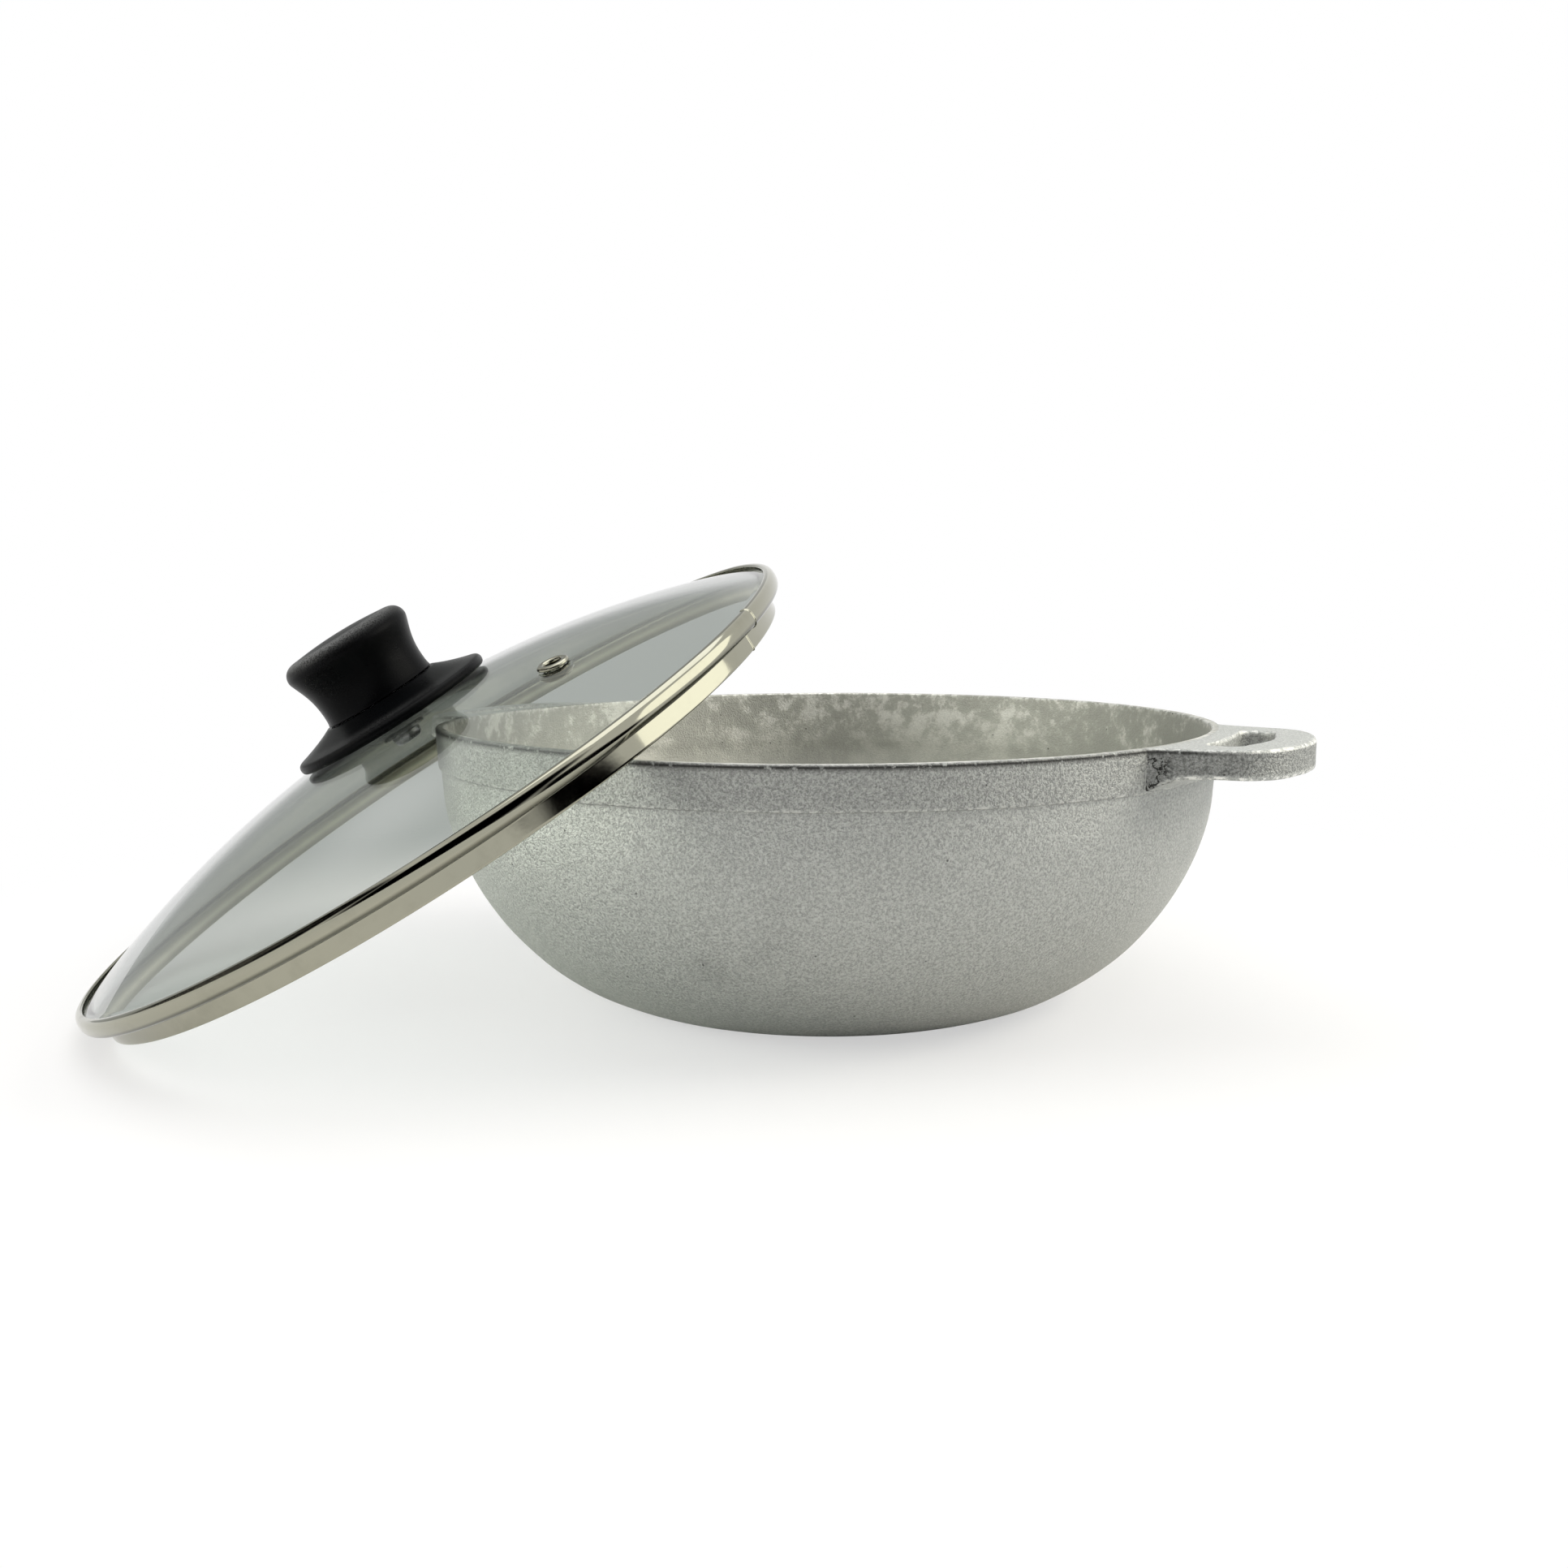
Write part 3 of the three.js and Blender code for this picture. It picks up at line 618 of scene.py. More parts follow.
def handle_section(steps=6, across=9, upright=10):
    """Rounded rectangle as four rows: share from hole to outline, inset, share from below to above, inset.

    The insets are in units of the edge's rounding, and each corner is a quarter circle.
    """
    bend = np.linspace(0.0, math.pi / 2, steps + 1)
    sin, cos = 1 - np.sin(bend), 1 - np.cos(bend)
    ones, zeros = np.ones(steps + 1), np.zeros(steps + 1)
    flat, stand = np.linspace(0, 1, across + 2)[1:-1], np.linspace(0, 1, upright + 2)[1:-1]
    level, plumb = np.ones(across), np.ones(upright)
    corners = [(zeros, cos, zeros, sin), (ones, sin, zeros, cos),
               (ones, cos, ones, sin), (zeros, sin, ones, cos)]
    faces = [(flat, level, level * 0, level * 0), (plumb, plumb * 0, stand, plumb),
             (flat[::-1], level, level, level * 0), (plumb * 0, plumb * 0, stand[::-1], plumb)]
    return np.concatenate([np.stack(run) for pair in zip(corners, faces) for run in pair], axis=1)


def handle_surface(pot, handle, turn):
    """A rounded section carried round the finger hole, from its outline to the handle's, and its traits.

    Near the wall its underside hangs lower, as a fillet, and half way out it is a little thinner.
    Slow waves of the casting follow its normals. The traits are cracks at the root, a painted shade line
    under the top edge, worn edges, and painted shade on the upright sides and on the finger hole's wall by
    the pot.
    """
    sunk, hollow, hollow_reach = 0.02 * MM, 0.7 * MM, 8 * MM
    calm_top, calm_root, worn_root = 3 * MM, 2 * MM, 12 * MM
    outline, hole = handle_outline(pot, handle), finger_outline(pot, handle)
    middle = np.array([(hole[:, 0].min() + hole[:, 0].max()) / 2, 0.0])
    rays = np.unwrap(np.arctan2(*(outline - middle).T[::-1]))
    walk = np.r_[0.0, np.cumsum(np.linalg.norm(np.diff(np.r_[outline, outline[:1]], axis=0), axis=1))]
    stops = np.linspace(0, walk[-1], HANDLE_SIDES, endpoint=False)
    angles = np.interp(stops, walk, np.r_[rays, rays[0] + FULL_TURN])
    inner = round_plan(hole, middle, angles)[:, None]
    outer = round_plan(outline, middle, angles)[:, None]
    heading = unit(outer - inner)
    part, inset, lift, sink = handle_section()[:, None, :, None]
    plan = (inner + heading * inset * handle.edge_round) * (1 - part)
    plan = plan + (outer - heading * inset * handle.edge_round) * part
    part, inset, lift, sink = part[..., 0], inset[..., 0], lift[..., 0], sink[..., 0] * handle.edge_round
    away = np.hypot(plan[..., 0], plan[..., 1]) - pot.rim_radius
    fillet = handle.flare * np.clip(1 - away / handle.flare_reach, 0, 1.2) ** 2
    base = pot.height - handle.thickness + hollow * hill(away - handle.reach / 2, hollow_reach) - fillet
    height = (base + sink) * (1 - lift) + (pot.height - sunk - sink) * lift
    grid = np.concatenate([plan, height[..., None]], axis=-1)
    rough = pot.unevenness * 1.3 * waves(grid, 7 * MM, 26 * MM, seed=11)
    calm = clamp((pot.height - grid[..., 2]) / calm_top) * clamp(away / calm_root)
    grid = grid + normals_of(grid) * (rough * calm)[..., None]
    depth = pot.height - grid[..., 2]
    upright = inset < 1
    outside = part * upright
    edge = (sink > 0) & (sink < handle.edge_round) & (inset > 0) & upright
    flaw = outside * np.exp(-np.abs(away) / handle.flaw_reach) * clamp(depth / handle.edge_round)
    # Painted shade: a thin dark line under the top edge, fading towards the tip.
    line = outside * hill(depth - handle.lip_depth, handle.lip_width)
    lip = line * clamp(1.5 - 1.6 * away / handle.reach)
    worn = edge * np.where(depth > handle.thickness / 2, 0.9 * clamp(away / worn_root), 0.5)
    # Painted shade on the upright faces: full on the outer sides, half on the finger hole's wall by the pot.
    shade = np.maximum(part, 0.5 * (plan[..., 0] < middle[0]))
    side = shade * upright * ((sink >= handle.edge_round) | (depth > handle.thickness))
    grid = grid * np.array([turn, turn, 1.0])
    return grid, cast_traits(grid.shape[:2], worn=worn, flaw=flaw, lip=lip, side=side)


def sheet_outline(middle_line, thickness, steps=6):
    """Outline of a bent sheet and which of its points lie within the bend.

    The outline is the middle line moved half a thickness to both sides, with round ends.
    """
    along = unit(np.gradient(middle_line, axis=0))
    out = pairs(along[:, 1], -along[:, 0])
    half = thickness / 2
    bend = np.linspace(0, math.pi, steps + 1)[1:-1, None]
    last = middle_line[-1] + half * (np.cos(bend) * out[-1] + np.sin(bend) * along[-1])
    first = middle_line[0] + half * (-np.cos(bend) * out[0] - np.sin(bend) * along[0])
    outline = np.concatenate([middle_line + half * out, last, (middle_line - half * out)[::-1], first])
    return outline, np.arange(len(outline)) < len(middle_line)


def band_profile(lid):
    """The rolled band: a bead round the glass's edge, a ledge under it and a skirt that hangs from it.

    The bead is half a superellipse: its width and height follow cos and sin to the power 2 / 2.4.
    """
    level = lid_levels(lid)
    half = lid.sheet / 2
    lip = lid.bead_radius - lid.bead_round
    wide, tall = lid.bead_round - half, (level.band_top - lid.skirt_height) / 2 - half
    angle = np.linspace(math.pi / 2, -math.pi / 2, 33)
    power = 2 / 2.4
    round_x = lip + wide * np.abs(np.cos(angle)) ** power
    round_z = level.bead_middle + tall * np.sign(np.sin(angle)) * np.abs(np.sin(angle)) ** power
    ledge = lid.skirt_height + half
    skirt = lid.skirt_radius - half
    overlap, bend = 0.5 * MM, 1.0 * MM
    line = path(
        (lip - overlap, level.band_top - half),
        (2, (lip, level.band_top - half)),
        pairs(round_x, round_z),
        (4, (skirt + bend, ledge)),
        (8, (skirt, ledge), (skirt, ledge - bend)),
        (10, (skirt, half)))
    return sheet_outline(line, lid.sheet)


def band_surface(lid):
    """The band turned about the lid's axis, with a narrow joint where the ends of the strip meet.

    Angles crowd together at the joint, where the surface sinks by depth exp(-(distance / width)^2).
    Its traits are the rougher inner face, dimmed as painted shade, a painted reflection as a pale stripe half
    way down the skirt, and the painted shade line under the bead.
    """
    stripe, ripple = 1.3 * MM, 0.05 * MM
    shadow_top, shadow_fade, shadow_low = 1.9 * MM, 0.9 * MM, 0.6 * MM
    reach = math.pi / LID_SIDES
    fine = np.linspace(-reach, reach, SEAM_SIDES + 2)[1:-1] + FULL_TURN
    angles = np.concatenate([turns(LID_SIDES)[:-1] + reach, fine]) + lid.seam_turn
    profile, within = band_profile(lid)
    height = profile[:, 1]
    grid = turned(profile, angles)
    # Painted reflection: a pale stripe half way down the inner face of the skirt.
    pale = hill(height - lid.skirt_height / 2, stripe)
    # Painted shade on the outer face just under the bead.
    under = (1 - within) * clamp((lid.skirt_height + shadow_top - height) / shadow_fade)
    under = under * (height > lid.skirt_height - shadow_low)
    traits = {"dull": within * (1 - pale), "pale": within * pale, "under": under}
    sink = lid.seam_depth * hill((angles - lid.seam_turn - FULL_TURN) * lid.bead_radius, lid.seam_width)
    lift = ripple * waves(grid, 20 * MM, 70 * MM, seed=21)
    normal = normals_of(grid)
    radial = (grid - grid.mean(axis=(0, 1))) * (1, 1, 0)
    outward = normal * np.sign((normal * radial).sum(axis=-1).mean())
    grid = grid + outward * (lift - sink[:, None])[..., None]
    return grid, {name: np.broadcast_to(values, grid.shape[:2]) for name, values in traits.items()}


def glass_profile(lid):
    """Closed profile of the dome, open on the axis: outer face, land, round edge, seat and inner face."""
    level = lid_levels(lid)
    inner = level.radius - lid.glass
    seat = math.sqrt(inner ** 2 - (level.bottom - level.centre) ** 2)
    out = np.linspace(lid.screw_hole, level.dome_edge, 70)
    back = np.linspace(seat, lid.screw_hole, 70)
    half = lid.glass / 2
    return chain(
        pairs(out, level.centre + np.sqrt(level.radius ** 2 - out ** 2)),
        (level.edge, level.top - half) + arc(half, np.linspace(math.pi / 2, -math.pi / 2, 15)),
        pairs(back, level.centre + np.sqrt(inner ** 2 - back ** 2)))


def grip_profile(lid, knob):
    """The grip: small foot, waist, one hollow sweep out to the brim, round top edge and a low crown."""
    level = knob_levels(lid, knob)
    foot, top = level.foot, level.foot + knob.grip_height
    waist, edge = foot + knob.waist_height, top - knob.crown
    brim, wide, slim = edge - knob.top_round, knob.grip_radius, knob.waist_radius
    flare = np.array([(wide - slim) / 3, (brim - waist) / 4])
    bore, bore_top = knob.insert_radius + lid.gap, level.insert + knob.insert_height + lid.gap
    side = np.array([wide, brim])
    base, crown, turn = knob.foot_radius, wide - knob.top_round, 0.4 * MM
    return path(
        (0.0, bore_top),
        (3, (bore, bore_top)),
        (3, (bore, foot)),
        (5, (base - turn, foot)),
        (4, (base, foot), (base, foot + turn)),
        (8, (slim, foot + 3 * turn), (slim, waist)),
        (26, (slim, (waist + brim) / 2), side - flare, side),
        (20, side + flare / 2, (wide - turn, edge), (crown, edge)),
        (14, (crown / 2, top), (0.0, top)))


def guard_profile(lid, knob):
    """The guard: dished below like the glass, a thin round edge, and a cone that rises to the hub."""
    level = knob_levels(lid, knob)
    recess = knob.gasket_radius + lid.gap
    rim, half, swell = knob.guard_radius, knob.guard_edge / 2, 0.3 * MM
    ceiling = level.gasket_top + lid.gap
    dish = np.linspace(recess, rim - half, 20)
    hub, top = knob.hub_radius, level.guard_top
    return path(
        (level.hole, ceiling),
        (4, (recess, ceiling)),
        pairs(dish, knob.guard_lift - level.drop(dish)),
        (8, (rim, level.edge_bottom), (rim, level.edge_bottom + half)),
        (8, (rim, level.edge_top), (rim - half, level.edge_top + swell)),
        (16, (hub + knob.hub_rise, top - knob.hub_rise / 2), (hub, top)),
        (6, (level.hole, top)))


def ring_profile(inner, outer, top, thickness, turn=0.15 * MM):
    """Rounded rectangle of a flat ring under a height, with quarter rounds at its corners."""
    bottom = top - thickness
    return path(
        (inner, bottom + turn),
        (4, (inner, bottom), (inner + turn, bottom)),
        (1, (outer - turn, bottom)),
        (4, (outer, bottom), (outer, bottom + turn)),
        (1, (outer, top - turn)),
        (4, (outer, top), (outer - turn, top)),
        (1, (inner + turn, top)),
        (4, (inner, top), (inner, top - turn)))


def gasket_profile(lid, knob):
    """Soft ring that is dished below like the glass and flat above."""
    level = knob_levels(lid, knob)
    dish = np.linspace(level.hole, knob.gasket_radius, 12)
    return chain(
        pairs(dish, lid.gap - level.drop(dish)),
        bezier((knob.gasket_radius, level.gasket_top), (level.hole, level.gasket_top), steps=6))


def vent_profile(lid, vent):
    """The vent's tube: rolled head over the glass, straight bore and the end rolled out under the washer."""
    bore, tube, gap = vent.bore, vent.bore + vent.tube, lid.gap
    head, top = vent.head_radius, gap + vent.head
    roll_top = -(lid.glass + gap) - vent.washer - gap
    low = roll_top - vent.roll
    tuck, bulge, rise = 0.3 * MM, 0.15 * MM, 0.1 * MM
    return path(
        (tube, gap),
        (4, (head - tuck, gap)),
        (14, (head + bulge, gap + rise), (head, top), ((head + bore) / 2, top)),
        (12, (bore, top), (bore, gap)),
        (8, (bore, low)),
        (2, (tube, low)),
        (8, (vent.roll_radius, low), (vent.roll_radius, roll_top)),
        (3, (tube, roll_top)),
        (6, (tube, gap)))


def screw_surface(lid, knob):
    """A turned pan-head screw whose head sinks under the two slots of its cross drive.

    The slots' depth falls off smoothly over a narrow flank, so that the cross is cut into the same surface.
    """
    level = knob_levels(lid, knob)
    low, top = level.head_top - knob.head_height, level.head_top
    end = level.insert + knob.bite
    head, shank = knob.head_radius, knob.screw_radius
    flat, point, flank, head_skin = 0.62 * head, 0.6 * MM, 0.12 * MM, 0.2 * MM
    profile = path(
        (0.0, low),
        (44, (flat, low)),
        (12, (head, low), (head, top)),
        (3, (shank, top)),
        (10, (shank, end - point)),
        (5, (shank - point, end), (0.0, end)))
    grid = turned(profile, turns(SCREW_SIDES))

    def slot(u, v):
        side = clamp((knob.drive_width / 2 - np.abs(u)) / flank + 0.5)
        return side * clamp((knob.drive_length / 2 - np.abs(v)) / flank + 0.5)

    cut = np.maximum(slot(grid[..., 0], grid[..., 1]), slot(grid[..., 1], grid[..., 0]))
    grid[..., 2] += knob.drive_depth * cut * (grid[..., 2] < low + head_skin)
    return grid


# Finishes

class Wire:
    """A socket of a material's nodes: arithmetic on it adds Math nodes, and node() adds any other node."""

    def __init__(self, tree, socket=None):
        self.tree = tree
        self.socket = socket

    def node(self, kind, setup=None, inputs=None, output=0):
        """A new node: its settings come first, then the values or wires of its sockets."""
        made = self.tree.nodes.new(kind)
        for key, value in (setup or {}).items():
            setattr(made, key, value)
        for key, value in (inputs or {}).items():
            if isinstance(value, Wire):
                self.tree.links.new(value.socket, made.inputs[key])
            else:
                made.inputs[key].default_value = value
        return Wire(self.tree, made.outputs[output]) if made.outputs else None

    def math(self, operation, *values):
        return self.node("ShaderNodeMath", {"operation": operation}, dict(enumerate(values)))

    def __add__(self, other):
        return self.math("ADD", self, other)

    def __radd__(self, other):
        return self.math("ADD", other, self)

    def __sub__(self, other):
        return self.math("SUBTRACT", self, other)

    def __rsub__(self, other):
        return self.math("SUBTRACT", other, self)

    def __mul__(self, other):
        return self.math("MULTIPLY", self, other)

    def __rmul__(self, other):
        return self.math("MULTIPLY", other, self)

    def most(self, first, *others):
        """The largest of several numbers."""
        for other in others:
            first = self.math("MAXIMUM", first, other)
        return first

    def place(self):
        """Object coordinates, in metres."""
        return self.node("ShaderNodeTexCoord", output="Object")

    def away(self, point):
        """Distance from a point, in metres."""
        return self.node(
            "ShaderNodeVectorMath", {"operation": "DISTANCE"}, {0: self.place(), 1: point}, "Value")

    def noise(self, grain, detail=2.0, roughness=0.5):
        """Noise from 0 to 1 whose features are about as large as the grain."""
        return self.node("ShaderNodeTexNoise", None, {
            "Vector": self.place(), "Scale": 1 / grain, "Detail": detail, "Roughness": roughness})

    def cells(self, spacing, output="Distance"):
        """Cell pattern with cells about as wide as the spacing."""
        return self.node("ShaderNodeTexVoronoi", None, {"Vector": self.place(), "Scale": 1 / spacing}, output)

    def ease(self, value, low, high):
        """0 below low, 1 above high and a smooth step between them."""
        return self.node("ShaderNodeMapRange", {"interpolation_type": "SMOOTHSTEP"}, {
            "Value": value, "From Min": low, "From Max": high})

    def blend(self, factor, first, second):
        """A colour between two colours."""
        return self.node("ShaderNodeMix", {"data_type": "RGBA"}, {0: factor, 6: first, 7: second}, 2)

    def dimmed(self, colour, amount):
        """A colour times a number."""
        return self.node("ShaderNodeVectorMath", {"operation": "SCALE"}, {0: colour, "Scale": amount})

    def trait(self, name):
        """A number kept on the mesh's points."""
        return self.node("ShaderNodeAttribute", {"attribute_name": name}, output="Fac")

    def bump(self, height, distance, strength):
        """A bent normal from a height between 0 and 1."""
        return self.node("ShaderNodeBump", None, {
            "Height": height, "Distance": distance, "Strength": strength})

    def seen(self, *rays):
        """1 for the named rays, such as those from a gloss or through glass, and 0 for others."""
        return self.most(*(self.node("ShaderNodeLightPath", output=f"Is {ray} Ray") for ray in rays))

    def surface(self, **inputs):
        """A Principled shader, its sockets named with underscores for spaces."""
        sockets = {key.replace("_", " "): value for key, value in inputs.items()}
        return self.node("ShaderNodeBsdfPrincipled", None, sockets)

    def glow(self, colour, strength):
        """A shader of one brightness from any side."""
        return self.node("ShaderNodeEmission", None, {"Color": colour, "Strength": strength})

    def clear(self, colour=WHITE):
        """A shader that lets light pass straight on."""
        return self.node("ShaderNodeBsdfTransparent", None, {"Color": colour})

    def mix(self, factor, first, second):
        """A shader between two shaders."""
        return self.node("ShaderNodeMixShader", None, {0: factor, 1: first, 2: second})

    def show(self, shader):
        """Puts a shader on the material's output."""
        self.node("ShaderNodeOutputMaterial", None, {"Surface": shader})

    def finish(self, **inputs):
        """A Principled shader on the material's output."""
        self.show(self.surface(**inputs))


def finish_of(maker, colours):
    """The material that bears its maker's name, made the first time that it is asked for."""
    found = bpy.data.materials.get(maker.__name__)
    if found:
        return found
    material = bpy.data.materials.new(maker.__name__)
    material.use_nodes = True
    material.node_tree.nodes.clear()
    maker(Wire(material.node_tree), colours)
    return material


def sand_cast_skin(wire, colours):
    """Matt sand-cast aluminium: pebbled grain, slow clouds, smudges, bright worn edges and dark flaws.

    The flaws are cracks, pits and specks. The same dark colour draws a line under the rim's outer edge and
    painted shade lines under the parting step and the handles' top edge. The handles' upright faces carry
    painted shade, and the rim band's outer face is darker. The inside is smoother and stained, with a bloom
    under the rim.
    """
    inside, worn, flaw, lip, side, frost, smudge = (wire.trait(name) for name in CAST_TRAITS)
    cloud = wire.noise(48 * MM, 3.0)
    patch = wire.noise(8 * MM, 5.0, 0.66)
    chip = wire.noise(2.2 * MM, 4.0, 0.65)
    pebble, grit = wire.noise(0.85 * MM, 2.0, 0.6), wire.noise(0.42 * MM, 1.0)
    grain = wire.ease(pebble * 0.62 + grit * 0.38, 0.33, 0.67)
    speck = 1 - wire.ease(wire.cells(8 * MM), 0.03, 0.055)
    hole = 1 - wire.ease(wire.cells(1.7 * MM), 0.12, 0.3)
    pit = hole * wire.ease(flaw, 0.1, 0.6) * wire.ease(chip, 0.5, 0.6)
    vein = 1 - wire.ease(wire.math("ABSOLUTE", patch - 0.5), 0.012, 0.03)
    crack = wire.most(wire.ease(flaw * 0.8 + chip * 0.9, 1.2, 1.3), vein * wire.ease(flaw, 0.3, 0.6))
    clean = wire.ease(cloud - smudge * 0.34, 0.16, 0.38)
    skin_tone = wire.blend(clean, colours.cast_dull, colours.cast_pale)
    stain = wire.ease(patch * 0.4 + cloud * 0.6, 0.4, 0.62)
    well_tone = wire.blend(stain, colours.inside_dull, colours.inside_pale)
    bloom = frost * wire.ease(patch + chip * 0.4 + (cloud - 0.5) * 0.9, 0.66, 0.84)
    well_tone = wire.blend(bloom * 0.55, well_tone, colours.cast_bright)
    # Grain and the inside set the tone's level. Side takes off painted shade on the handles' upright faces
    # and darkens the rim band's outer face.
    light = 0.69 + grain * 0.6 * (1 - inside * 0.65) + inside * 0.2 - side * 0.36
    tone = wire.dimmed(wire.blend(inside, skin_tone, well_tone), light)
    # On the cast skin this is wear: bright chips of bare metal along worn edges.
    wear_and_painted_highlight = worn * wire.ease(chip, 0.46, 0.56)
    tone = wire.blend(wear_and_painted_highlight, tone, colours.cast_bright)
    # A dark line under the rim's outer edge, and painted shade lines under the parting step and the handles'
    # top edge.
    shade_line = lip * wire.ease(chip, 0.32, 0.46)
    tone = wire.blend(wire.most(crack, pit * 0.8, shade_line, speck * 0.7), tone, colours.dark_flaw_and_shade)
    rough = 0.55 + (grain - 0.5) * 0.2 - wear_and_painted_highlight * 0.2 + inside * 0.05
    height = grain * (1 - inside * 0.6) * (1 - wear_and_painted_highlight * 0.7) - speck * 0.5 - crack * 1.4 - pit
    wire.finish(Base_Color=tone, Roughness=rough, Metallic=0.8, Normal=wire.bump(height, 0.24 * MM, 0.7))


def tempered_glass(wire, colours):
    """Clear grey-green glass with a trace of wiping marks in its gloss, which lets the lamps' light pass."""
    wipe = wire.ease(wire.noise(30 * MM, 4.0, 0.6), 0.55, 0.9)
    glass = wire.surface(Base_Color=colours.glass, Roughness=wipe * 0.03, IOR=1.5, Transmission_Weight=1.0)
    wire.show(wire.mix(wire.seen("Shadow"), glass, wire.clear(colours.glass_shadow)))


def mirror_band(wire, colours):
    """Mirror-polished steel with faint fingered patches and fine rolling lines.

    Its inner face is rougher and dimmed as painted shade, with a painted reflection, a pale stripe, half way
    down. Painted shade darkens the outer face under the bead.
    """
    hand = wire.noise(16 * MM, 4.0, 0.6)
    film = wire.ease(hand, 0.48, 0.75)
    dull, pale, under = (wire.trait(name) for name in ("dull", "pale", "under"))
    tone = wire.blend(film * 0.5, colours.steel, colours.steel_dull)
    # Painted shade dims the inner face and the outer face under the bead. The pale stripe is a painted
    # reflection.
    tone = wire.dimmed(tone, 1 - dull * 0.2 + pale - under * 0.6)
    rough = 0.05 + film * 0.07 + wire.noise(1.1 * MM) * 0.03 + (dull + pale) * 0.3
    wire.finish(Base_Color=tone, Roughness=rough, Metallic=1.0, Normal=wire.bump(hand, 0.25 * MM, 0.12))


def rolled_vent_steel(wire, colours):
    """Bright rolled steel with fine drawing marks."""
    mark = wire.noise(0.7 * MM, 3.0, 0.6)
    tone = wire.blend(wire.ease(mark, 0.45, 0.8) * 0.5, colours.steel, colours.steel_dull)
    rough = 0.09 + mark * 0.1
    wire.finish(Base_Color=tone, Roughness=rough, Metallic=1.0, Normal=wire.bump(mark, 0.05 * MM, 0.3))


def black_phenolic(wire, colours):
    """Satin black moulding with a fine grain, a few paler specks of dust, and a grey painted highlight along
    its edges.
    """
    grain = wire.noise(0.5 * MM, 2.0, 0.55)
    cloud = wire.noise(14 * MM, 3.0, 0.55)
    dust = wire.ease(wire.noise(0.9 * MM, 1.0), 0.72, 0.86)
    tone = wire.blend(dust * 0.02, colours.black, colours.silicone)
    # Painted highlight: grainy grey along the grip's top edge and the guard's edge.
    wear_and_painted_highlight = wire.trait("wear_and_painted_highlight") * (0.35 + wire.ease(grain, 0.35, 0.65) * 0.65)
    tone = wire.blend(wear_and_painted_highlight, tone, colours.black_painted_highlight)
    rough = 0.3 + (cloud - 0.5) * 0.18 + (grain - 0.5) * 0.14
    normal = wire.bump(grain, 0.09 * MM, 0.5)
    wire.finish(Base_Color=tone, Roughness=rough, Specular_IOR_Level=0.05, Normal=normal)


def machined_brass(wire, colours):
    """Turned brass with fine tool marks."""
    mark = wire.noise(0.4 * MM, 2.0, 0.6)
    tone = wire.blend(wire.ease(mark, 0.4, 0.8) * 0.4, colours.brass, colours.dark_flaw_and_shade)
    rough = 0.25 + mark * 0.15
    wire.finish(Base_Color=tone, Roughness=rough, Metallic=1.0, Normal=wire.bump(mark, 0.04 * MM, 0.4))


def grey_silicone(wire, colours):
    """Soft grey silicone with a dull, faintly cloudy skin."""
    cloud = wire.noise(5 * MM, 3.0)
    tone = wire.blend(wire.ease(cloud, 0.3, 0.8) * 0.3, colours.silicone, colours.inside_dull)
    wire.finish(Base_Color=tone, Roughness=0.45 + cloud * 0.2, Normal=wire.bump(cloud, 0.1 * MM, 0.2))


def zinc_steel(wire, colours):
    """Zinc-plated steel with a crystalline, slightly dull bloom."""
    bloom = wire.cells(1.6 * MM, "Color")
    cloud = wire.noise(3 * MM, 3.0, 0.6)
    tone = wire.blend(wire.ease(cloud, 0.35, 0.75) * 0.5, colours.zinc, colours.cast_dull)
    rough = 0.24 + bloom * 0.1
    wire.finish(Base_Color=tone, Roughness=rough, Metallic=1.0, Normal=wire.bump(cloud, 0.05 * MM, 0.3))


def plain_white(wire, stage):
    """White surroundings, which glass shows as a pale grey."""
    return wire.blend(wire.seen("Transmission"), WHITE, stage.through)


def floor_paint(wire, stage):
    """Pale floor that keeps the shadow near the part and ends in plain white farther off."""
    tone = wire.blend(wire.noise(0.4) * 0.02, stage.floor_colour, WHITE)
    paint = wire.surface(Base_Color=tone, Roughness=0.9, Specular_IOR_Level=0.1)
    far = wire.ease(wire.away((0.0, 0.0, 0.0)), stage.floor_near, stage.floor_far)
    far = far * wire.seen("Camera", "Glossy", "Transmission")
    near = stage.floor_glow * wire.seen("Camera", "Transmission")
    wire.show(wire.mix(wire.most(far, near), paint, wire.glow(plain_white(wire, stage), 1.0)))


def show_card(wire, colour, strength, fade):
    """A card of one brightness from any side, which fades out towards its border."""
    wire.show(wire.mix(wire.ease(wire.trait("middle"), 0.0, fade), wire.clear(), wire.glow(colour, strength)))


def dark_card(wire, _):
    """Black card that only gloss shows."""
    show_card(wire, BLACK, 0.0, 0.35)


def window_card(wire, stage):
    """Cream window that only gloss shows, before the lamp that gives its light."""
    show_card(wire, stage.window, 2.55, 0.05)


def grey_card(wire, stage):
    """Grey card with a soft white patch, which only gloss shows."""
    patch = wire.ease(wire.away(stage.glint_place), 0.02, stage.glint_reach)
    show_card(wire, wire.blend(patch, WHITE, stage.mirrored), 1.0, 0.3)


# Operators

class CALDERO_OT_bowl(bpy.types.Operator):
    """Makes the cast bowl with its flat foot, parting line and worn rim."""

    bl_idname = "caldero.bowl"
    bl_label = "Bowl"

    def execute(self, context):
        now = settings(context)
        grid, traits = bowl_surface(now.pot)
        piece = skin("bowl_casting", grid, finish_of(sand_cast_skin, now.finish), closed=False, traits=traits)
        dress(piece, "pot", "cast_aluminium", "pot_body")
        return {"FINISHED"}


class CALDERO_OT_handles(bpy.types.Operator):
    """Makes the two cast handles with their finger holes and spreading roots."""

    bl_idname = "caldero.handles"
    bl_label = "Handles"

    def execute(self, context):
        now = settings(context)
        material = finish_of(sand_cast_skin, now.finish)
        for name, turn in (("handle_right", 1.0), ("handle_left", -1.0)):
            grid, traits = handle_surface(now.pot, now.handle, turn)
            dress(skin(name, grid, material, traits=traits), "pot", "cast_aluminium")
        return {"FINISHED"}


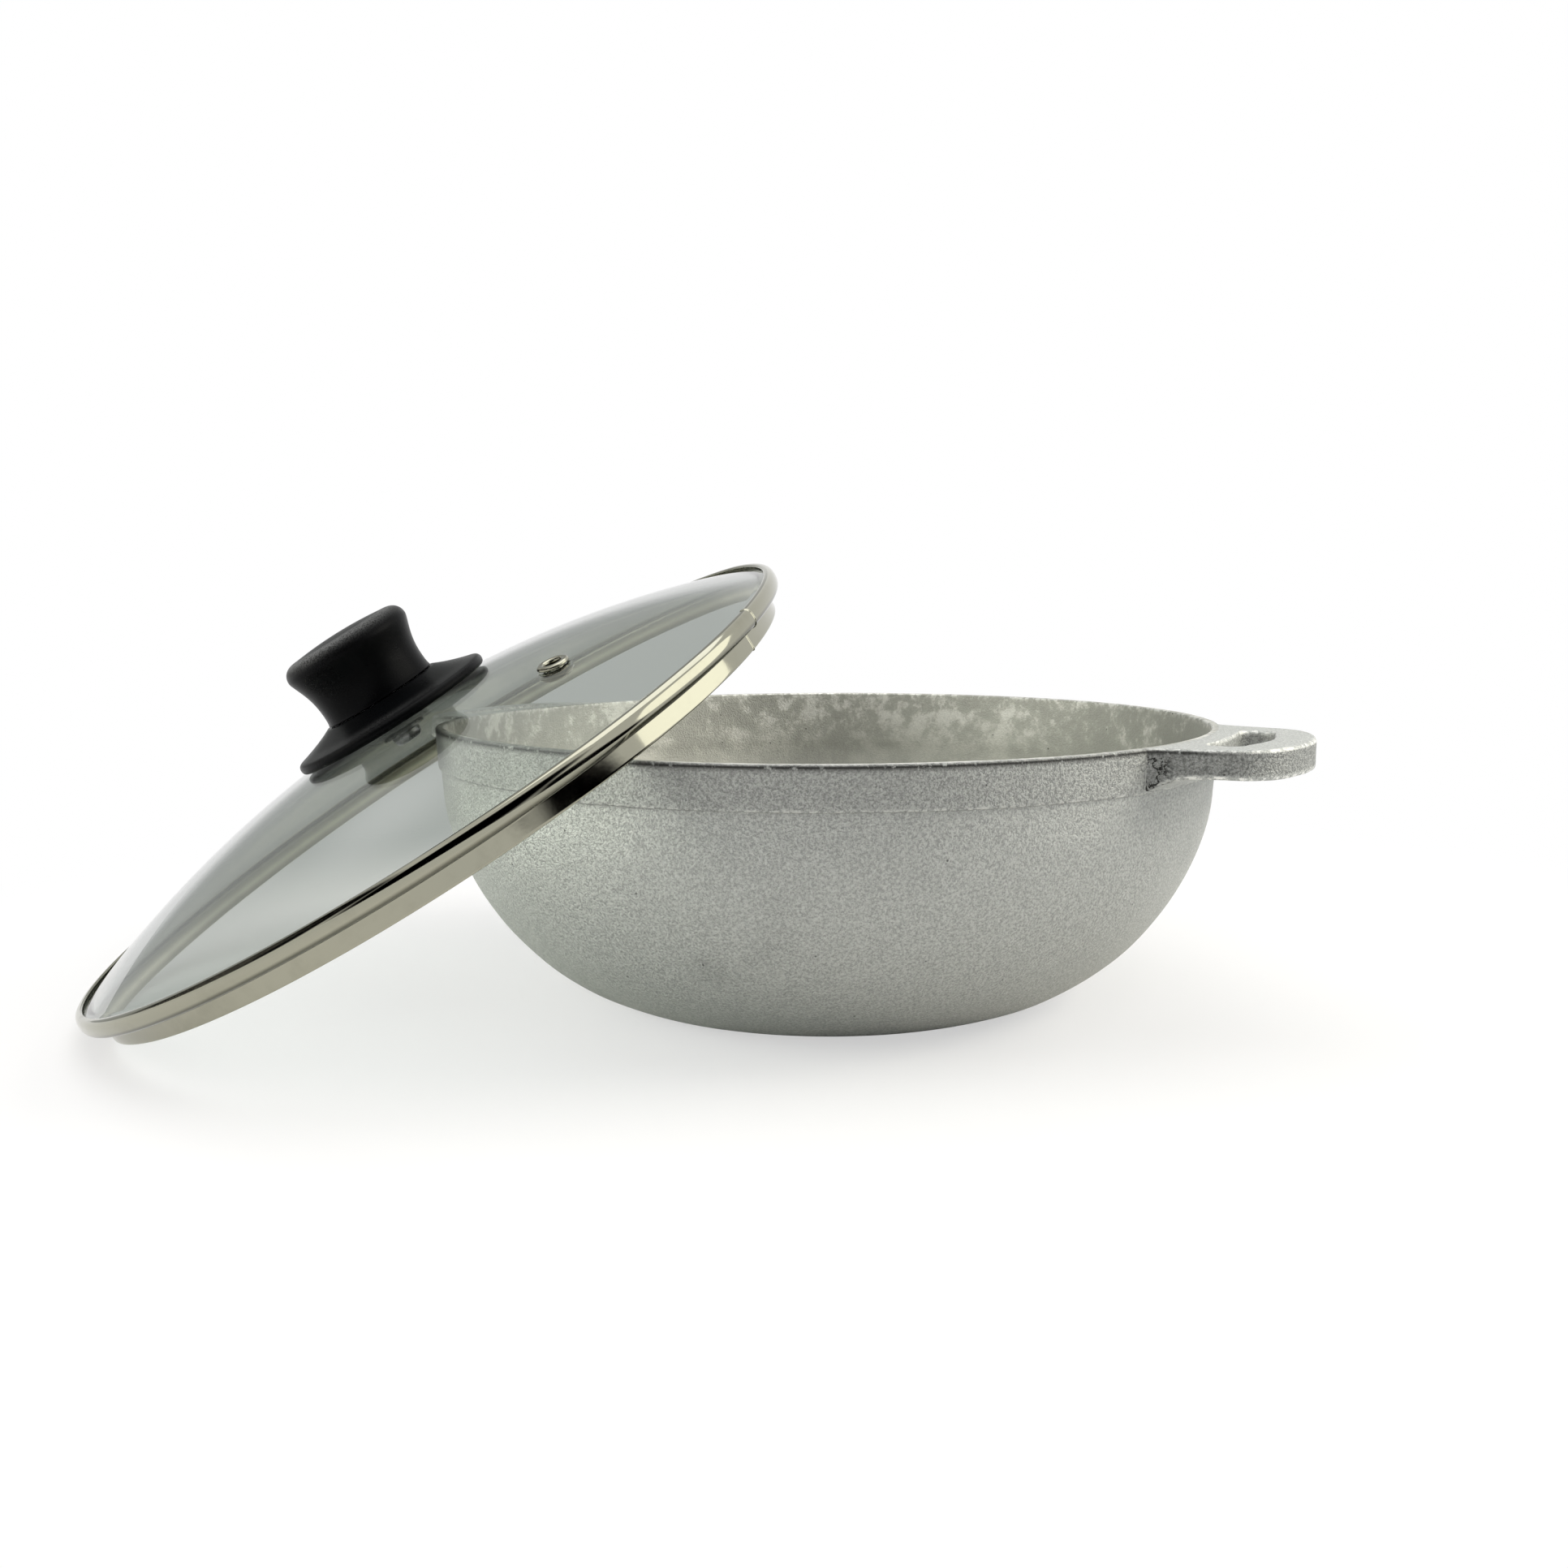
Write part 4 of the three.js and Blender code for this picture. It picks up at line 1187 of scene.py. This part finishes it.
class CALDERO_OT_glass(bpy.types.Operator):
    """Makes the tempered glass dome, drilled for the screw and the vent."""

    bl_idname = "caldero.glass"
    bl_label = "Glass dome"

    def execute(self, context):
        now = settings(context)
        material = finish_of(tempered_glass, now.finish)
        dome = skin("glass_dome", spun(glass_profile(now.lid), LID_SIDES, lid_seat()), material)
        hole = now.vent.bore + now.vent.tube + now.lid.gap
        reach = 2 * now.lid.glass
        rod = chain((0.0, -reach), (hole, -reach), (hole, reach), (0.0, reach))
        drill = skin("drill", spun(rod, SMALL_SIDES, vent_seat(now.lid)), material, closed=False)
        cut = dome.modifiers.new("vent_hole", "BOOLEAN")
        cut.object = drill
        cut.solver = "EXACT"
        drilled = bpy.data.meshes.new_from_object(dome.evaluated_get(context.evaluated_depsgraph_get()))
        dome.modifiers.clear()
        dome.data = drilled
        drilled.name = "glass_dome"
        bpy.data.objects.remove(drill)
        dress(dome, "lid", "lid_glass", "lid_glass")
        return {"FINISHED"}


class CALDERO_OT_band(bpy.types.Operator):
    """Makes the rolled steel band with its bead, skirt and joint."""

    bl_idname = "caldero.band"
    bl_label = "Rolled band"

    def execute(self, context):
        now = settings(context)
        grid, traits = band_surface(now.lid)
        material = finish_of(mirror_band, now.finish)
        piece = skin("rolled_band", seated(grid, lid_seat()), material, traits=traits)
        dress(piece, "lid", "band_steel", "lid_band")
        return {"FINISHED"}


class CALDERO_OT_vent(bpy.types.Operator):
    """Makes the steam vent: its rolled tube and the washer under the glass."""

    bl_idname = "caldero.vent"
    bl_label = "Steam vent"

    def execute(self, context):
        now = settings(context)
        lid, vent = now.lid, now.vent
        ring = ring_profile(
            vent.bore + vent.tube + lid.gap, vent.washer_radius, -(lid.glass + lid.gap), vent.washer)
        material = finish_of(rolled_vent_steel, now.finish)
        pieces = (("vent_eyelet", vent_profile(lid, vent), "vent_barrel"), ("vent_ring", ring, "vent_washer"))
        for name, profile, node in pieces:
            piece = skin(name, spun(profile, SMALL_SIDES, vent_seat(lid)), material)
            dress(piece, "lid", "vent_steel", node)
        return {"FINISHED"}


class CALDERO_OT_knob(bpy.types.Operator):
    """Makes the black knob: its grip and the wide guard under it, with painted highlights along their edges.
    """

    bl_idname = "caldero.knob"
    bl_label = "Knob"

    def execute(self, context):
        now = settings(context)
        lid, knob = now.lid, now.knob
        material = finish_of(black_phenolic, now.finish)
        seat, level = knob_seat(lid), knob_levels(lid, knob)
        grip = turned(grip_profile(lid, knob), turns(KNOB_SIDES))
        shoulder = level.foot + knob.grip_height - knob.crown - 0.3 * knob.top_round
        # Painted highlight round the grip's top edge, and a faint one round the guard's edge.
        wear_and_painted_highlight = near_rings(grip, (1.0, knob.grip_radius - 0.6 * knob.top_round, shoulder, knob.highlight_reach))
        piece = skin("grip_moulding", seated(grip, seat), material, closed=False, traits={"wear_and_painted_highlight": wear_and_painted_highlight})
        dress(piece, "lid", "knob_black", "knob_grip")
        guard = turned(guard_profile(lid, knob), turns(KNOB_SIDES))
        ring = knob.guard_radius - knob.guard_edge
        wear_and_painted_highlight = near_rings(guard, (0.12, ring, level.edge_top, knob.highlight_reach))
        piece = skin("knob_guard", seated(guard, seat), material, traits={"wear_and_painted_highlight": wear_and_painted_highlight})
        dress(piece, "lid", "knob_black", "knob_flange")
        return {"FINISHED"}


class CALDERO_OT_fastening(bpy.types.Operator):
    """Makes what holds the knob: insert, gasket, seal, washer and screw."""

    bl_idname = "caldero.fastening"
    bl_label = "Knob fastening"

    def execute(self, context):
        now = settings(context)
        lid, knob = now.lid, now.knob
        seat, level = knob_seat(lid), knob_levels(lid, knob)
        brass, soft, zinc = (
            finish_of(kind, now.finish) for kind in (machined_brass, grey_silicone, zinc_steel))
        insert_top = level.insert + knob.insert_height
        insert = ring_profile(level.hole, knob.insert_radius, insert_top, knob.insert_height)
        seal = ring_profile(level.hole, knob.seal_radius, level.seal_top, knob.seal)
        washer = ring_profile(level.hole, knob.washer_radius, level.washer_top, knob.washer)
        rings = (
            ("grip_insert", insert, brass, "insert_brass", "knob_insert"),
            ("guard_gasket", gasket_profile(lid, knob), soft, "silicone", "flange_gasket"),
            ("screw_seal", seal, soft, "silicone", "glass_seal"),
            ("screw_disc", washer, zinc, "screw_steel", "screw_washer"))
        for name, profile, material, slot, node in rings:
            dress(skin(name, spun(profile, SMALL_SIDES, seat), material), "lid", slot, node)
        screw = skin("cross_screw", seated(screw_surface(lid, knob), seat), zinc, closed=False)
        dress(screw, "lid", "screw_steel", "knob_screw")
        return {"FINISHED"}


# Stage

MIDDLE = (0.0, 0.0, 0.05)

# Name, place, width, depth, watts and colour of each lamp
LAMPS = (
    ("overhead", (0.0, 0.05, 1.4), 1.4, 1.2, 8.0, (1.0, 1.0, 1.0)),
    ("left_window", (-1.0, -0.75, 0.35), 0.8, 0.6, 13.3, (1.0, 0.965, 0.91)),
    ("right_window", (1.05, 0.55, 0.75), 0.8, 0.62, 12.8, (1.0, 0.95, 0.84)))

# Name, place, roll, width, depth and finish of each card
CARDS = (
    ("window_card", (1.03, 0.50, 0.71), 0.0, 1.1, 0.85, window_card),
    ("back_card", (0.607, -1.149, 0.5), 0.0, 2.3, 1.5, dark_card),
    ("left_card", (-0.805, -0.75, 0.42), 0.0, 1.9, 1.1, dark_card),
    ("side_card", (1.24, -0.19, 0.16), 0.0, 1.1, 0.44, dark_card),
    ("far_card", (-1.153, 0.322, 0.556), -0.54, 2.1, 1.25, grey_card))


def aimed(place, aim, roll=0.0):
    """Matrix of a camera, lamp or card that stands at a place and looks at a point, turned about its view."""
    view = (Vector(aim) - Vector(place)).to_track_quat("-Z", "Y").to_matrix().to_4x4()
    return Matrix.Translation(Vector(place)) @ view @ Matrix.Rotation(roll, 4, "Z")


def soft_lamp(name, place, width, depth, watts, colour):
    """A rectangular soft lamp that shines on the part and isn't seen through glass."""
    light = bpy.data.lights.new(name, "AREA")
    light.shape = "RECTANGLE"
    light.size, light.size_y = width, depth
    light.energy = watts
    light.color = colour
    lamp = placed(name, light)
    lamp.matrix_world = aimed(place, MIDDLE)
    lamp.visible_transmission = False


def flat_panel(name, matrix, width, depth, material):
    """A flat rectangle in the plane of a matrix.

    Its trait falls from 1 in the middle to 0 on the line |x|^4 + |y|^4 = 1, which touches the sides.
    """
    steps = np.linspace(-1.0, 1.0, PANEL_STEPS)
    across, along = (run.ravel() for run in np.meshgrid(steps, steps, indexing="ij"))
    index = np.arange(PANEL_STEPS ** 2).reshape(PANEL_STEPS, PANEL_STEPS)
    quads = np.stack([index[:-1, :-1], index[1:, :-1], index[1:, 1:], index[:-1, 1:]], axis=-1)
    flat = np.stack([across * width / 2, along * depth / 2, across * 0, across * 0 + 1], axis=-1)
    points = (flat @ np.array(matrix).T)[:, :3]
    middle = clamp(1 - (across ** 4 + along ** 4) ** 0.25)
    panel = placed(name, mesh_of(name, points, quads.reshape(-1, 4), {"middle": middle}, material))
    return panel


def gloss_card(name, place, roll, width, depth, material):
    """A panel that only gloss shows: it is hidden from the camera and stops no light."""
    card = flat_panel(name, aimed(place, MIDDLE, roll), width, depth, material)
    for ray in ("camera", "diffuse", "transmission", "volume_scatter", "shadow"):
        setattr(card, f"visible_{ray}", False)


def white_world(stage):
    """Plain white surroundings that give less light than they show."""
    world = bpy.data.worlds.new("white_surroundings")
    world.use_nodes = True
    world.node_tree.nodes.clear()
    wire = Wire(world.node_tree)
    level = stage.ambient + wire.seen("Camera", "Glossy", "Transmission") * (1 - stage.ambient)
    glow = wire.node("ShaderNodeBackground", None, {"Color": plain_white(wire, stage), "Strength": level})
    wire.node("ShaderNodeOutputWorld", None, {"Surface": glow})
    return world


class CALDERO_OT_stage(bpy.types.Operator):
    """Makes the floor, the white surroundings, the soft lamps, the cards that gloss shows and the camera."""

    bl_idname = "caldero.stage"
    bl_label = "Stage"

    def execute(self, context):
        stage, scene = settings(context).stage, context.scene
        scene.view_settings.view_transform = "Standard"
        floor = finish_of(floor_paint, stage)
        flat_panel("floor", Matrix.Identity(4), stage.floor_width, stage.floor_width, floor)
        scene.world = white_world(stage)
        for name, place, width, depth, watts, colour in LAMPS:
            soft_lamp(name, place, width, depth, watts * stage.lamp, colour)
        for name, place, roll, width, depth, kind in CARDS:
            gloss_card(name, place, roll, width, depth, finish_of(kind, stage))
        data = bpy.data.cameras.new("camera")
        data.lens = stage.lens
        data.sensor_width = SENSOR_WIDTH
        camera = placed("camera", data)
        camera.matrix_world = aimed(stage.camera_place, stage.camera_aim, stage.camera_roll)
        scene.camera = camera
        return {"FINISHED"}


OPERATORS = (
    CALDERO_OT_bowl, CALDERO_OT_handles, CALDERO_OT_glass, CALDERO_OT_band, CALDERO_OT_vent, CALDERO_OT_knob,
    CALDERO_OT_fastening, CALDERO_OT_stage)


class CALDERO_PT_looks(bpy.types.Panel):
    """Lists the makers of the pieces and the sizes and colours that they use."""

    bl_idname = "CALDERO_PT_looks"
    bl_label = "Caldero"
    bl_space_type = "VIEW_3D"
    bl_region_type = "UI"
    bl_category = "Caldero"

    def draw(self, context):
        for maker in OPERATORS:
            self.layout.operator(maker.bl_idname)
        for name, group in vars(settings(context)).items():
            box = self.layout.box()
            box.label(text=GROUPS[name].__doc__)
            for key in GROUPS[name].__annotations__:
                box.prop(group, key)


CLASSES = (*GROUPS.values(), *OPERATORS, CALDERO_PT_looks)


def register():
    for kind in CLASSES:
        bpy.utils.register_class(kind)
    for name, kind in GROUPS.items():
        group = PointerProperty(name=name.capitalize(), description=kind.__doc__, type=kind)
        setattr(bpy.types.Scene, f"caldero_{name}", group)


def unregister():
    for name in GROUPS:
        delattr(bpy.types.Scene, f"caldero_{name}")
    for kind in reversed(CLASSES):
        bpy.utils.unregister_class(kind)


def main():
    register()
    bpy.ops.caldero.bowl()
    bpy.ops.caldero.handles()
    bpy.ops.caldero.glass()
    bpy.ops.caldero.band()
    bpy.ops.caldero.vent()
    bpy.ops.caldero.knob()
    bpy.ops.caldero.fastening()
    bpy.ops.caldero.stage()


if __name__ == "__main__":
    main()
